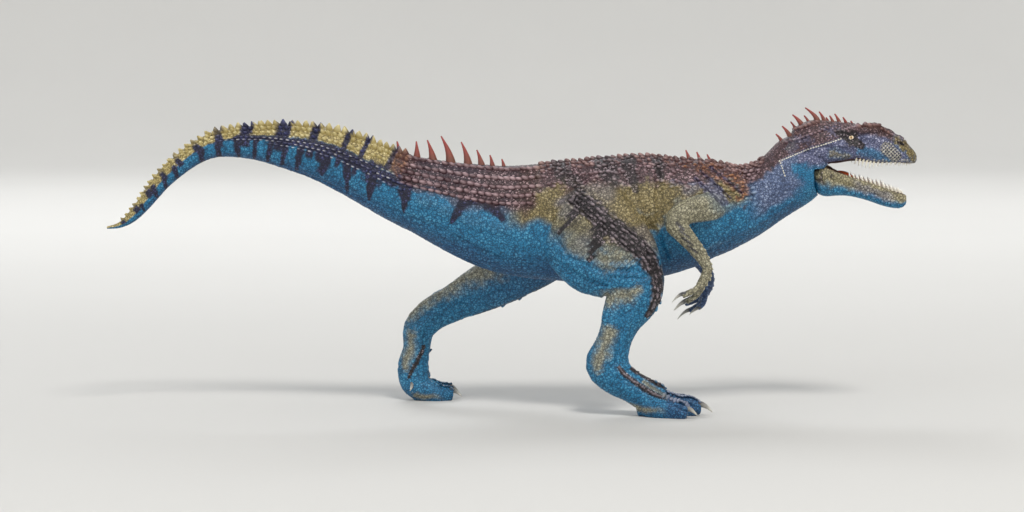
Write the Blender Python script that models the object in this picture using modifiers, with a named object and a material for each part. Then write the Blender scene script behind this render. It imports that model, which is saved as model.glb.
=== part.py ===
"""Moulded and painted figurine of a striding allosaurus, with a hinged lower jaw.

Frame: +X towards the snout, +Z up, +Y to the animal's left, origin on the ground under the
middle of the figure's box. The rows below are in millimetres, with Y from the animal's own
middle plane. The left foot stands further out than the right one, so that the figure balances,
and the finished pieces are moved sideways to put the box's middle on the origin.

The soft forms are lofts along a centre line. Each piece fuses its lofts into one skin, and
horn, teeth and claws are joined to that skin afterwards.
"""

import math
from dataclasses import dataclass

import bmesh
import bpy
from mathutils import Matrix, Vector

MM = 0.001

# Where the animal's middle plane lies in the finished figure
MIDDLE_PLANE_Y = -3.8

# Clearances, the depth that the flat soles are trimmed by, and the jaw hinge
GLUE_GAP = 0.35
SOLE_TRIM = 0.4
JAW_GAP = 0.4
JAW_HINGE = (100.4, 0.0, 81.8)
JAW_CLOSES_DEG = 13.0
SWING_STEPS = 8
CHEEK_EDGE = 79.6
CHEEK_OPENING_HALF_WIDTH = 12.0
KNUCKLE_RADIUS = 2.1
KNUCKLE_HALF_LENGTH = 4.2
TRUNNION_RADIUS = 0.9
TRUNNION_HALF_LENGTH = 5.3

# Mesh fineness: voxel size of a fused skin, and the triangles kept on it
BODY_VOXEL, BODY_TRIANGLES = 0.55, 3100
LEG_VOXEL, LEG_TRIANGLES = 0.5, 860
ARM_VOXEL, ARM_TRIANGLES = 0.3, 400
JAW_VOXEL, JAW_TRIANGLES = 0.3, 560
ROOM_TRIANGLES = 700
LOFT_SIDES = 20
LOFT_STEPS = 3
HEAD_SQUARENESS = 3.2
HORN_SIDES = 6

# Spine of tail, trunk and neck: x, y, z, half width, half depth, square to the line
SPINE = (
    (-132.2, -4.4, 60.1, 0.5, 0.5),
    (-127.7, -4.6, 61.0, 1.1, 1.0),
    (-123.8, -4.8, 63.6, 1.6, 1.8),
    (-119.8, -5.0, 67.9, 1.9, 2.3),
    (-115.8, -5.1, 72.9, 2.2, 2.7),
    (-111.9, -5.1, 77.2, 2.4, 3.0),
    (-104.0, -5.0, 83.5, 2.8, 3.4),
    (-96.0, -4.6, 87.3, 3.3, 4.2),
    (-84.2, -3.8, 87.9, 4.1, 5.5),
    (-72.3, -2.7, 86.4, 5.0, 7.4),
    (-60.4, -1.7, 83.6, 6.0, 9.0),
    (-48.5, -0.8, 78.7, 7.2, 10.2),
    (-37.0, -0.3, 73.2, 8.6, 11.3),
    (-25.0, 0.0, 69.0, 10.2, 13.3),
    (-13.6, 0.0, 65.4, 11.4, 15.8),
    (-2.0, 0.0, 62.6, 12.2, 17.8),
    (11.0, 0.0, 61.8, 12.8, 19.2),
    (27.0, 0.0, 62.2, 13.4, 20.2),
    (42.2, 0.0, 63.2, 13.6, 20.6),
    (53.5, -0.2, 64.2, 12.8, 19.0),
    (62.5, -0.4, 65.8, 11.6, 16.7),
    (69.7, -0.6, 66.9, 10.2, 14.8),
    (76.9, -0.8, 68.5, 9.1, 12.2),
    (84.6, -0.9, 72.0, 8.2, 10.2),
    (91.4, -0.8, 76.9, 7.6, 10.8),
    (96.0, -0.5, 81.6, 7.2, 10.6),
    (99.8, -0.2, 86.0, 6.6, 7.6),
)

# Skull: x, half width, underside z, top z, share by which the top is narrower
SKULL = (
    (92.0, 4.6, 83.0, 91.6, 0.20),
    (95.0, 6.6, 81.4, 94.0, 0.25),
    (99.5, 8.0, 81.0, 95.2, 0.30),
    (105.9, 7.9, 81.0, 94.6, 0.30),
    (111.0, 7.4, 81.8, 94.0, 0.28),
    (115.6, 6.5, 81.6, 93.2, 0.34),
    (119.4, 6.0, 81.0, 94.0, 0.42),
    (123.4, 5.5, 81.2, 92.0, 0.40),
    (127.2, 5.0, 81.1, 90.0, 0.34),
    (130.2, 4.1, 81.0, 87.2, 0.28),
    (132.0, 2.8, 81.0, 85.0, 0.20),
    (132.8, 1.2, 81.8, 83.6, 0.10),
)

# Ridge from behind the right eye over the crest in front of it to the snout, and the eye
BROW = (
    (104.5, -6.4, 90.6, 0.7, 0.8),
    (108.0, -6.3, 92.2, 1.1, 1.1),
    (112.0, -5.7, 92.8, 1.2, 1.1),
    (116.4, -4.7, 93.2, 1.2, 1.3),
    (119.4, -4.0, 93.6, 1.1, 1.5),
    (122.2, -3.4, 92.0, 0.9, 1.1),
    (127.0, -2.8, 89.6, 0.7, 0.8),
)
EYE, EYE_RADIUS = (110.6, 5.9, 89.8), 1.9

# Lower jaw in its open pose: x, half width, underside z, top z, share by which the top is wider
JAW = (
    (98.9, 4.2, 74.0, 80.0, 0.00),
    (100.2, 5.4, 71.4, 81.0, 0.00),
    (102.8, 5.9, 70.2, 80.8, -0.05),
    (106.2, 5.6, 70.4, 79.2, -0.12),
    (109.6, 5.0, 70.4, 77.6, -0.18),
    (113.2, 4.5, 69.8, 76.3, -0.22),
    (117.5, 4.1, 68.6, 75.0, -0.24),
    (121.4, 3.8, 67.2, 73.6, -0.24),
    (125.4, 3.5, 66.3, 72.1, -0.20),
    (128.0, 2.8, 66.4, 71.2, -0.10),
    (129.5, 1.5, 67.6, 70.6, 0.00),
)
MOUTH_FLOOR = (
    (105.0, 2.8, 74.8, 83.0, 0.0),
    (109.6, 3.4, 73.8, 81.0, 0.0),
    (117.5, 2.8, 72.0, 78.0, 0.0),
    (124.0, 2.3, 70.2, 75.0, 0.0),
    (127.0, 1.2, 70.2, 74.0, 0.0),
)
TONGUE = (
    (104.0, 0.0, 74.4, 2.0, 1.6),
    (108.5, 0.0, 74.2, 2.5, 1.5),
    (114.0, 0.0, 73.1, 2.2, 1.3),
    (119.0, 0.0, 72.5, 1.8, 1.0),
    (123.0, 0.0, 72.8, 1.2, 0.7),
    (125.0, 0.0, 73.3, 0.5, 0.4),
)

# Right leg from hip to the ball of the foot: x, y, z, half width, half depth
RIGHT_LEG = (
    (17.0, -6.0, 68.0, 5.0, 11.0),
    (20.6, -8.8, 65.0, 7.4, 15.2),
    (25.6, -10.8, 60.0, 8.4, 17.2),
    (31.4, -12.2, 53.4, 8.2, 16.8),
    (37.2, -13.4, 47.6, 7.4, 13.2),
    (40.4, -14.2, 42.8, 6.6, 9.5),
    (39.0, -14.7, 37.6, 5.8, 8.6),
    (36.2, -15.1, 32.4, 5.0, 7.0),
    (34.2, -15.4, 27.0, 4.3, 5.7),
    (32.5, -15.6, 22.0, 4.2, 6.0),
    (31.2, -15.7, 17.0, 4.5, 7.2),
    (34.6, -15.8, 12.6, 4.6, 6.0),
    (39.4, -15.9, 9.6, 5.0, 5.2),
    (44.8, -16.2, 6.6, 5.8, 5.5),
    (48.4, -16.3, 5.0, 5.4, 4.9),
)
LEFT_LEG = (
    (20.0, 7.0, 67.0, 5.0, 10.5),
    (17.5, 10.2, 61.5, 7.4, 13.4),
    (13.4, 13.0, 56.2, 8.2, 13.2),
    (8.0, 15.2, 50.4, 7.6, 11.6),
    (1.8, 17.2, 45.2, 6.8, 9.8),
    (-5.2, 18.6, 40.8, 6.0, 8.6),
    (-12.6, 19.6, 36.9, 5.2, 7.5),
    (-19.6, 20.4, 33.2, 4.5, 6.2),
    (-26.4, 21.0, 29.6, 4.2, 5.7),
    (-31.0, 21.3, 24.6, 4.1, 5.4),
    (-31.8, 21.5, 18.0, 3.7, 4.6),
    (-33.0, 21.7, 11.6, 3.9, 5.4),
    (-32.2, 21.8, 6.4, 4.5, 5.2),
    (-29.4, 22.1, 4.0, 5.0, 4.4),
    (-27.0, 22.4, 3.2, 4.2, 3.6),
)
# Toes: x, y, z, half width, half depth; the claw grows from the last point
RIGHT_TOES = (
    (
        (44.0, -13.6, 5.0, 2.7, 4.6),
        (49.4, -11.4, 3.8, 2.6, 4.2),
        (52.8, -10.2, 3.2, 2.1, 3.4),
        (56.2, -9.2, 2.9, 2.2, 3.3),
        (58.6, -8.7, 2.5, 1.5, 2.2),
    ),
    (
        (40.4, -16.2, 3.9, 3.4, 3.9),
        (45.4, -16.4, 4.6, 3.6, 4.8),
        (51.0, -16.6, 3.8, 2.8, 4.3),
        (54.4, -16.7, 3.3, 2.3, 3.5),
        (57.6, -16.8, 3.2, 2.4, 3.6),
        (60.2, -16.9, 2.9, 1.9, 2.6),
        (61.6, -17.0, 2.8, 1.3, 1.7),
    ),
    (
        (43.6, -19.0, 5.0, 2.7, 4.6),
        (48.4, -21.4, 3.8, 2.6, 4.2),
        (51.6, -22.6, 3.2, 2.0, 3.3),
        (54.8, -23.6, 2.8, 2.1, 3.2),
        (56.8, -24.1, 2.4, 1.4, 2.1),
    ),
)
LEFT_TOES = (
    (
        (-29.0, 19.6, 4.0, 2.5, 3.8),
        (-24.4, 19.8, 2.6, 2.4, 3.2),
        (-21.8, 20.4, 2.4, 1.9, 2.7),
        (-19.8, 21.0, 2.1, 1.6, 2.1),
    ),
    (
        (-33.0, 21.6, 3.9, 3.2, 4.0),
        (-29.0, 22.2, 4.0, 3.2, 4.1),
        (-24.8, 24.6, 2.8, 2.6, 3.4),
        (-22.2, 26.4, 2.6, 2.0, 2.9),
        (-20.2, 27.6, 2.3, 1.7, 2.2),
    ),
    (
        (-30.0, 24.0, 4.0, 2.5, 3.8),
        (-27.6, 27.4, 2.6, 2.4, 3.2),
        (-26.2, 29.6, 2.4, 1.8, 2.6),
        (-25.2, 31.0, 2.1, 1.5, 2.0),
    ),
)
# Claws and dewclaws: root, tip, root radius, sideways bow of the middle along z
RIGHT_FOOT_CLAWS = (
    ((57.8, -8.8, 3.0), (62.2, -8.0, 1.0), 1.3, 0.9),
    ((60.8, -17.0, 3.2), (65.4, -17.3, 1.0), 1.4, 1.0),
    ((56.0, -24.0, 2.9), (60.0, -25.0, 1.0), 1.25, 0.9),
    ((37.0, -11.8, 7.4), (35.0, -9.4, 3.6), 1.3, 0.6),
)
LEFT_FOOT_CLAWS = (
    ((-20.4, 20.8, 2.9), (-16.5, 22.0, 0.9), 1.2, 0.9),
    ((-20.8, 27.2, 3.1), (-17.5, 29.6, 0.9), 1.3, 1.0),
    ((-25.6, 30.6, 2.7), (-23.8, 33.0, 0.9), 1.1, 0.8),
    ((-33.6, 18.2, 6.6), (-35.0, 16.0, 3.0), 1.2, 0.6),
)

# Right arm; the left one is its mirror image, further forward and hanging lower
ARM = (
    (71.5, -5.6, 65.6, 3.4, 6.0),
    (67.4, -9.6, 66.8, 4.0, 5.4),
    (61.6, -12.4, 67.0, 3.7, 4.4),
    (56.0, -13.8, 65.4, 3.3, 3.8),
    (52.9, -14.6, 62.4, 3.0, 3.4),
    (54.9, -15.0, 59.6, 2.8, 3.1),
    (58.4, -15.2, 55.6, 2.4, 2.6),
    (61.7, -15.3, 51.2, 2.0, 2.1),
    (63.4, -15.3, 47.6, 1.7, 1.6),
    (62.6, -15.2, 44.4, 1.9, 1.6),
    (60.9, -15.1, 41.8, 1.6, 1.4),
)
FINGERS = (
    ((62.2, -15.9, 43.6, 1.1, 1.1), (59.4, -16.9, 40.8, 1.0, 1.1), (55.2, -17.3, 39.0, 0.9, 0.9)),
    ((62.2, -14.8, 43.0, 1.1, 1.1), (60.2, -14.8, 39.2, 1.0, 1.0), (56.6, -14.8, 36.8, 0.9, 0.9)),
    ((62.0, -14.0, 43.4, 0.9, 1.0), (61.2, -12.8, 39.8, 0.8, 0.9), (59.2, -12.3, 37.8, 0.7, 0.8)),
)
HAND_CLAWS = (
    ((55.8, -17.3, 39.2), (51.9, -17.2, 36.8), 0.85, 0.9),
    ((57.0, -14.8, 37.0), (52.6, -14.8, 34.0), 0.85, 0.8),
    ((59.6, -12.3, 38.0), (56.4, -12.2, 35.8), 0.75, 0.5),
)
LEFT_ARM_FORWARD = 3.0
LEFT_ARM_DROP = 6.0

# Horn spines: root on the skin, tip, root radius, bow
CREST_SPINES = (
    ((90.8, -0.8, 89.4), (88.4, -1.0, 93.4), 0.8, 0.3),
    ((95.0, -0.6, 92.8), (92.0, -0.6, 96.9), 0.95, 0.4),
    ((99.4, -0.3, 94.4), (96.4, -0.2, 99.2), 1.2, 0.9),
    ((102.2, 0.1, 94.4), (101.0, 0.2, 97.9), 0.95, 0.2),
    ((105.0, -0.2, 94.0), (104.2, -0.2, 96.6), 0.8, 0.1),
    ((107.2, 0.2, 93.8), (105.9, 0.2, 97.2), 0.85, 0.2),
    ((109.6, -0.1, 93.6), (108.6, -0.1, 96.2), 0.8, 0.1),
)
TAIL_SPINES = (
    ((-36.4, -0.3, 83.6), (-37.3, -0.3, 88.2), 1.5, 0.2),
    ((-31.0, -0.1, 82.2), (-31.0, -0.1, 88.2), 1.5, 0.2),
    ((-25.6, 0.0, 81.6), (-27.4, 0.0, 88.6), 1.6, 0.4),
    ((-20.0, 0.0, 81.0), (-22.9, 0.0, 89.9), 1.7, 0.7),
    ((-14.2, 0.0, 80.6), (-16.3, 0.0, 88.0), 1.5, 0.5),
    ((-9.8, 0.0, 80.2), (-11.2, 0.0, 85.4), 1.2, 0.3),
    ((-6.4, 0.0, 79.8), (-6.9, 0.0, 83.7), 1.0, 0.2),
)
SHOULDER_SPINES = (
    ((58.4, 2.2, 82.2), (57.4, 2.6, 85.2), 0.9, 0.2),
    ((62.2, 2.4, 81.2), (61.0, 2.8, 84.6), 0.9, 0.2),
    ((65.6, 2.2, 80.4), (64.4, 2.6, 83.8), 0.9, 0.3),
    ((69.6, 2.0, 78.8), (68.6, 2.4, 81.8), 0.8, 0.2),
)
# Row of upright scutes on the tail's crest, evenly spaced from the tip towards the hip
TAIL_SCUTE_START, TAIL_SCUTE_END = 4, 12
TAIL_SCUTES = 34
TAIL_SCUTE_HEIGHT_SHARE = 0.34
TAIL_SCUTE_SMALLEST, TAIL_SCUTE_LARGEST = 0.8, 2.2

# Teeth: how many on each side, their length and radius, and where each row starts and ends
UPPER_TEETH, UPPER_TOOTH_LENGTH = 12, 2.3
UPPER_ROW = (113.6, 130.6)
LOWER_TEETH, LOWER_TOOTH_LENGTH = 11, 2.0
LOWER_ROW = (111.4, 127.8)
TOOTH_RADIUS = 0.52
TOOTH_SUNK = 0.8
TOOTH_ROOM = 0.4
UPPER_ROW_INSET = 0.95
LOWER_ROW_INSET = 0.95

SKIN_COLOUR = (0.16, 0.13, 0.10, 1.0)
BLUE_COLOUR = (0.02, 0.12, 0.19, 1.0)
JAW_COLOUR = (0.20, 0.19, 0.13, 1.0)
PAINT_ROUGHNESS = 0.55


@dataclass
class Ring:
    """One cross section of a loft, square to the loft's centre line."""

    centre: Vector
    half_width: float
    half_depth: float
    taper: float = 0.0
    squareness: float = 2.0


def catmull_rom(before, start, end, after, t):
    """Value at t between start and end on a smooth curve through four values."""
    return 0.5 * (
        2 * start
        + (end - before) * t
        + (2 * before - 5 * start + 4 * end - after) * t * t
        + (3 * start - before - 3 * end + after) * t * t * t
    )


def smooth_rows(rows, steps=LOFT_STEPS):
    """The rows with steps - 1 more put smoothly between each two."""
    made = []
    for i in range(len(rows) - 1):
        four = [rows[max(0, min(len(rows) - 1, i + k))] for k in (-1, 0, 1, 2)]
        for step in range(steps):
            made.append(tuple(catmull_rom(*values, step / steps) for values in zip(*four)))
    return [*made, rows[-1]]


def rings_from_line(rows, grow=0.0):
    """Rings from rows of x, y, z, half width and half depth, all made larger by grow."""
    return [Ring(Vector(row[:3]), row[3] + grow, row[4] + grow) for row in smooth_rows(rows)]


def rings_from_profile(rows, grow=0.0, squareness=HEAD_SQUARENESS):
    """Rings from rows of x, half width, underside, top and taper, all made larger by grow."""
    rings = [
        Ring(
            Vector((x, 0, (low + high) / 2)), width + grow, (high - low) / 2 + grow, taper, squareness
        )
        for x, width, low, high, taper in smooth_rows(rows)
    ]
    rings[0].centre.x -= grow
    rings[-1].centre.x += grow
    return rings


def towards_square(value, squareness):
    """A sine or cosine pushed outwards, so that a round section gets flatter sides."""
    return math.copysign(abs(value) ** (2 / squareness), value)


def loft(rings, sides=LOFT_SIDES, upright=False):
    """A closed bmesh through the rings. Upright rings stand square to X, others to the line."""
    bm = bmesh.new()
    loops = []
    for i, ring in enumerate(rings):
        before, after = rings[max(0, i - 1)], rings[min(len(rings) - 1, i + 1)]
        along = Vector((1, 0, 0)) if upright else (after.centre - before.centre).normalized()
        side = Vector((0, 1, 0))
        side = (side - side.dot(along) * along).normalized()
        up = along.cross(side)
        loop = []
        for k in range(sides):
            angle = 2 * math.pi * (k + 0.5) / sides
            across = towards_square(math.cos(angle), ring.squareness)
            upward = towards_square(math.sin(angle), ring.squareness)
            width = ring.half_width * (1 - ring.taper * max(0.0, upward))
            offset = side * width * across + up * ring.half_depth * upward
            loop.append(bm.verts.new((ring.centre + offset) * MM))
        loops.append(loop)
    for first, second in zip(loops, loops[1:]):
        for k in range(sides):
            corners = (first[k], first[(k + 1) % sides], second[(k + 1) % sides], second[k])
            bm.faces.new(corners)
    bm.faces.new(loops[0])
    bm.faces.new(loops[-1])
    bmesh.ops.recalc_face_normals(bm, faces=bm.faces)
    return bm


def horn(root, tip, radius, bow, sides=HORN_SIDES, segments=3):
    """A closed, bent cone from root to tip, its middle bowed away from the straight line."""
    root, tip = Vector(root), Vector(tip)
    along = (tip - root).normalized()
    side = along.orthogonal().normalized()
    other = along.cross(side)
    bend = Vector((0, 0, 1)) if abs(along.z) < 0.8 else Vector((1, 0, 0))
    start = root - along * radius
    bm = bmesh.new()
    loops = []
    for step in range(segments):
        t = step / segments
        centre = start.lerp(tip, t) + bend * bow * math.sin(math.pi * t)
        size = radius * (1 - t) ** 0.8
        loops.append(
            [
                bm.verts.new(
                    (
                        centre
                        + side * size * math.cos(2 * math.pi * k / sides)
                        + other * size * math.sin(2 * math.pi * k / sides)
                    )
                    * MM
                )
                for k in range(sides)
            ]
        )
    point = bm.verts.new(tip * MM)
    for first, second in zip(loops, loops[1:]):
        for k in range(sides):
            bm.faces.new((first[k], first[(k + 1) % sides], second[(k + 1) % sides], second[k]))
    for k in range(sides):
        bm.faces.new((loops[-1][k], loops[-1][(k + 1) % sides], point))
    bm.faces.new(loops[0])
    bmesh.ops.recalc_face_normals(bm, faces=bm.faces)
    return bm


def joined(shapes):
    """One bmesh that holds all the closed shapes, which are freed."""
    whole = bmesh.new()
    for shape in shapes:
        mesh = bpy.data.meshes.new("shape")
        shape.to_mesh(mesh)
        shape.free()
        whole.from_mesh(mesh)
        bpy.data.meshes.remove(mesh)
    return whole


def add_object(name, bm, collection):
    """A new object in the collection with the bmesh's shape, which is freed."""
    mesh = bpy.data.meshes.new(name)
    bm.to_mesh(mesh)
    bm.free()
    obj = bpy.data.objects.new(name, mesh)
    collection.objects.link(obj)
    return obj


def apply_modifiers(obj):
    """Makes the object's evaluated shape its own mesh."""
    bpy.context.view_layer.update()
    graph = bpy.context.evaluated_depsgraph_get()
    mesh = bpy.data.meshes.new_from_object(obj.evaluated_get(graph))
    mesh.name = obj.name
    obj.modifiers.clear()
    obj.data = mesh


def fuse(obj, voxel, triangles, smooth_times=6):
    """Turns overlapping closed shapes into one smooth skin of about so many triangles."""
    remesh = obj.modifiers.new("Fuse", "REMESH")
    remesh.mode = "VOXEL"
    remesh.voxel_size = voxel * MM
    smooth = obj.modifiers.new("Soften", "SMOOTH")
    smooth.factor = 0.5
    smooth.iterations = smooth_times
    apply_modifiers(obj)
    count = sum(len(face.vertices) - 2 for face in obj.data.polygons)
    thin = obj.modifiers.new("Thin", "DECIMATE")
    thin.ratio = triangles / count
    apply_modifiers(obj)


def boolean(obj, tool, operation):
    """Joins the tool to the object or cuts it out, and puts the tool away as a hidden helper.

    Both are closed skins. The exact solver loses the skin where thin horns cross many of its
    faces, and the manifold solver keeps it.
    """
    modifier = obj.modifiers.new("Boolean", "BOOLEAN")
    modifier.operation = operation
    modifier.solver = "MANIFOLD"
    modifier.object = tool
    apply_modifiers(obj)
    tool.hide_render = True
    tool.display_type = "WIRE"


def flat_below(obj):
    """Cuts the object off at the ground and closes the cut with a flat sole."""
    bm = bmesh.new()
    bm.from_mesh(obj.data)
    everything = bm.verts[:] + bm.edges[:] + bm.faces[:]
    cut = bmesh.ops.bisect_plane(
        bm, geom=everything, dist=1e-7, plane_co=(0, 0, 0), plane_no=(0, 0, 1), clear_inner=True
    )
    rim = [item for item in cut["geom_cut"] if isinstance(item, bmesh.types.BMEdge)]
    bmesh.ops.holes_fill(bm, edges=rim)
    bm.to_mesh(obj.data)
    bm.free()


def row_width(rows, x, column=1):
    """A profile's value at x, read between its rows."""
    for first, second in zip(rows, rows[1:]):
        if first[0] <= x <= second[0]:
            share = (x - first[0]) / (second[0] - first[0])
            return first[column] + (second[column] - first[column]) * share
    return rows[-1][column]


def upper_teeth():
    """Cones under the skull's rim, both sides, longer in the middle of the row."""
    shapes = []
    for i in range(UPPER_TEETH):
        share = i / (UPPER_TEETH - 1)
        x = UPPER_ROW[0] + (UPPER_ROW[1] - UPPER_ROW[0]) * share
        y = row_width(SKULL, x) - UPPER_ROW_INSET
        z = row_width(SKULL, x, 2) + TOOTH_SUNK
        length = UPPER_TOOTH_LENGTH * (0.62 + 0.38 * math.sin(math.pi * (0.15 + 0.8 * share)))
        for sign in (-1, 1):
            root = (x, sign * y, z)
            tip = (x - 0.5, sign * (y - 0.1), z - TOOTH_SUNK - length)
            shapes.append(horn(root, tip, TOOTH_RADIUS, 0.0, sides=4, segments=1))
    return shapes


def lower_teeth():
    """Cones on the lower jaw's rim, both sides."""
    shapes = []
    for i in range(LOWER_TEETH):
        share = i / (LOWER_TEETH - 1)
        x = LOWER_ROW[0] + (LOWER_ROW[1] - LOWER_ROW[0]) * share
        y = row_width(JAW, x) - LOWER_ROW_INSET
        z = row_width(JAW, x, 3) - TOOTH_SUNK
        length = LOWER_TOOTH_LENGTH * (0.6 + 0.4 * share)
        for sign in (-1, 1):
            root = (x, sign * y, z)
            tip = (x - 0.3, sign * (y - 0.1), z + TOOTH_SUNK + length)
            shapes.append(horn(root, tip, TOOTH_RADIUS, 0.0, sides=4, segments=1))
    return shapes


def tail_scutes():
    """Upright pointed scutes along the crest of the tail."""
    rows = smooth_rows(SPINE[TAIL_SCUTE_START : TAIL_SCUTE_END + 1], 8)
    shapes = []
    for i in range(TAIL_SCUTES):
        row = rows[round(i * (len(rows) - 2) / (TAIL_SCUTES - 1))]
        after = rows[round(i * (len(rows) - 2) / (TAIL_SCUTES - 1)) + 1]
        along = Vector((after[0] - row[0], 0, after[2] - row[2])).normalized()
        up = Vector((-along.z, 0, along.x))
        crest = Vector(row[:3]) + up * row[4]
        height = TAIL_SCUTE_HEIGHT_SHARE * row[4]
        height = min(TAIL_SCUTE_LARGEST, max(TAIL_SCUTE_SMALLEST, height))
        root = crest - up * 0.5
        tip = crest + up * height - along * 0.3 * height
        shapes.append(horn(root, tip, 0.5 * height + 0.5, 0.0, sides=4, segments=2))
    return shapes


def hinge_cylinder(radius, half_length):
    """A closed cylinder on the jaw's hinge axis."""
    bm = bmesh.new()
    turn = Matrix.Translation(Vector(JAW_HINGE) * MM) @ Matrix.Rotation(math.pi / 2, 4, "X")
    bmesh.ops.create_cone(
        bm,
        cap_ends=True,
        segments=16,
        radius1=radius * MM,
        radius2=radius * MM,
        depth=2 * half_length * MM,
        matrix=turn,
    )
    return bm


def jaw_room(helpers):
    """A helper that holds the jaw, its teeth and its hinge all through the jaw's swing."""
    tooth_band = [
        (x, width - 0.2, high - 1.0, high + LOWER_TOOTH_LENGTH + TOOTH_ROOM, 0.0)
        for x, width, _, high, _ in JAW[5:10]
    ]
    below_cheeks = [
        (x, CHEEK_OPENING_HALF_WIDTH, low, min(high, CHEEK_EDGE - JAW_GAP), 0.0)
        for x, _, low, high, _ in JAW
    ]
    axis = Matrix.Translation(Vector(JAW_HINGE) * MM)
    shapes = [loft(rings_from_profile(below_cheeks, JAW_GAP), upright=True)]
    for step in range(SWING_STEPS + 1):
        angle = -math.radians(JAW_CLOSES_DEG * step / SWING_STEPS)
        turn = axis @ Matrix.Rotation(angle, 4, "Y") @ axis.inverted()
        for rows, grow in ((JAW, JAW_GAP), (tooth_band, 0.0)):
            shape = loft(rings_from_profile(rows, grow), upright=True)
            bmesh.ops.transform(shape, matrix=turn, verts=shape.verts)
            shapes.append(shape)
    shapes.append(hinge_cylinder(KNUCKLE_RADIUS + JAW_GAP, KNUCKLE_HALF_LENGTH + JAW_GAP))
    shapes.append(hinge_cylinder(TRUNNION_RADIUS + JAW_GAP, TRUNNION_HALF_LENGTH + JAW_GAP))
    room = add_object("jaw_room", joined(shapes), helpers)
    fuse(room, JAW_VOXEL, ROOM_TRIANGLES, smooth_times=1)
    return room


def mirrored(rows):
    """Rows of a line on the other side of the animal."""
    return tuple((row[0], -row[1], *row[2:]) for row in rows)


def left_arm_row(row, share):
    """A row of the right arm's line as the left arm has it, further forward and lower."""
    return (row[0] + LEFT_ARM_FORWARD, -row[1], row[2] - share * LEFT_ARM_DROP, *row[3:])


def eye_bulge(side):
    """A ball that swells out of the side of the skull; side is -1 or 1."""
    x, y, z = EYE
    bm = bmesh.new()
    place = Matrix.Translation(Vector((x, side * y, z)) * MM)
    bmesh.ops.create_uvsphere(bm, u_segments=12, v_segments=8, radius=EYE_RADIUS * MM, matrix=place)
    return bm


def make_body(parts, helpers):
    """Tail, trunk, neck and skull in one skin, with the mouth's room cut out of it."""
    shapes = [loft(rings_from_line(SPINE))]
    shapes.append(loft(rings_from_profile(SKULL), upright=True))
    for ridge in (BROW, mirrored(BROW)):
        shapes.append(loft(rings_from_line(ridge), sides=10))
    for sign in (-1, 1):
        shapes.append(eye_bulge(sign))
    body = add_object("body", joined(shapes), parts)
    fuse(body, BODY_VOXEL, BODY_TRIANGLES)
    plain = body.data.copy()
    boolean(body, jaw_room(helpers), "DIFFERENCE")
    horns = [horn(*row) for row in CREST_SPINES + TAIL_SPINES + SHOULDER_SPINES]
    for name, shapes in (
        ("spines", horns),
        ("tail_scute_row", tail_scutes()),
        ("upper_tooth_row", upper_teeth()),
    ):
        boolean(body, add_object(name, joined(shapes), helpers), "UNION")
    return body, plain


def clearance_of(name, mesh, helpers):
    """A helper with the mesh's shape, grown outwards by the glue gap."""
    obj = bpy.data.objects.new(name, mesh)
    helpers.objects.link(obj)
    grow = obj.modifiers.new("Grow", "DISPLACE")
    grow.strength = GLUE_GAP * MM
    grow.mid_level = 0.0
    apply_modifiers(obj)
    return obj


def make_leg(name, line, toes, claws, plain_body, parts, helpers):
    """One leg: thigh to toes in one skin, claws joined on, its root fitted to the flank."""
    shapes = [loft(rings_from_line(line))]
    shapes += [loft(rings_from_line(toe)) for toe in toes]
    leg = add_object(name, joined(shapes), parts)
    fuse(leg, LEG_VOXEL, LEG_TRIANGLES)
    leg.data.transform(Matrix.Translation((0, 0, -SOLE_TRIM * MM)))
    boolean(leg, clearance_of(name + "_glue_room", plain_body, helpers), "DIFFERENCE")
    talons = joined([horn(*row) for row in claws])
    boolean(leg, add_object(name + "_claws", talons, helpers), "UNION")
    flat_below(leg)
    return leg


def make_arm(name, line, fingers, claws, plain_body, parts, helpers):
    """One arm with three fingers, its root fitted to the shoulder."""
    shapes = [loft(rings_from_line(line))]
    shapes += [loft(rings_from_line(finger), sides=12) for finger in fingers]
    arm = add_object(name, joined(shapes), parts)
    fuse(arm, ARM_VOXEL, ARM_TRIANGLES, smooth_times=4)
    boolean(arm, clearance_of(name + "_glue_room", plain_body, helpers), "DIFFERENCE")
    talons = joined([horn(*row) for row in claws])
    boolean(arm, add_object(name + "_claws", talons, helpers), "UNION")
    return arm


def make_left_arm(plain_body, parts, helpers):
    """The left arm: the right one's rows, dropping more and more down to the elbow."""
    elbow = 4
    line = [left_arm_row(row, min(1.0, i / elbow)) for i, row in enumerate(ARM)]
    fingers = [[left_arm_row(row, 1.0) for row in finger] for finger in FINGERS]
    claws = [
        (left_arm_row(root, 1.0), left_arm_row(tip, 1.0), radius, bow)
        for root, tip, radius, bow in HAND_CLAWS
    ]
    return make_arm("left_arm", line, fingers, claws, plain_body, parts, helpers)


def make_jaw(parts, helpers):
    """The lower jaw, hollowed for the mouth, with tongue, teeth, hinge knuckle and trunnions."""
    jaw = add_object("lower_jaw", loft(rings_from_profile(JAW), upright=True), parts)
    floor = loft(rings_from_profile(MOUTH_FLOOR), upright=True)
    boolean(jaw, add_object("mouth_floor", floor, helpers), "DIFFERENCE")
    tongue = loft(rings_from_line(TONGUE), sides=12)
    boolean(jaw, add_object("tongue", tongue, helpers), "UNION")
    knuckle = hinge_cylinder(KNUCKLE_RADIUS, KNUCKLE_HALF_LENGTH)
    boolean(jaw, add_object("knuckle", knuckle, helpers), "UNION")
    fuse(jaw, JAW_VOXEL, JAW_TRIANGLES, smooth_times=3)
    trunnions = hinge_cylinder(TRUNNION_RADIUS, TRUNNION_HALF_LENGTH)
    boolean(jaw, add_object("trunnions", trunnions, helpers), "UNION")
    boolean(jaw, add_object("lower_tooth_row", joined(lower_teeth()), helpers), "UNION")
    return jaw


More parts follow.
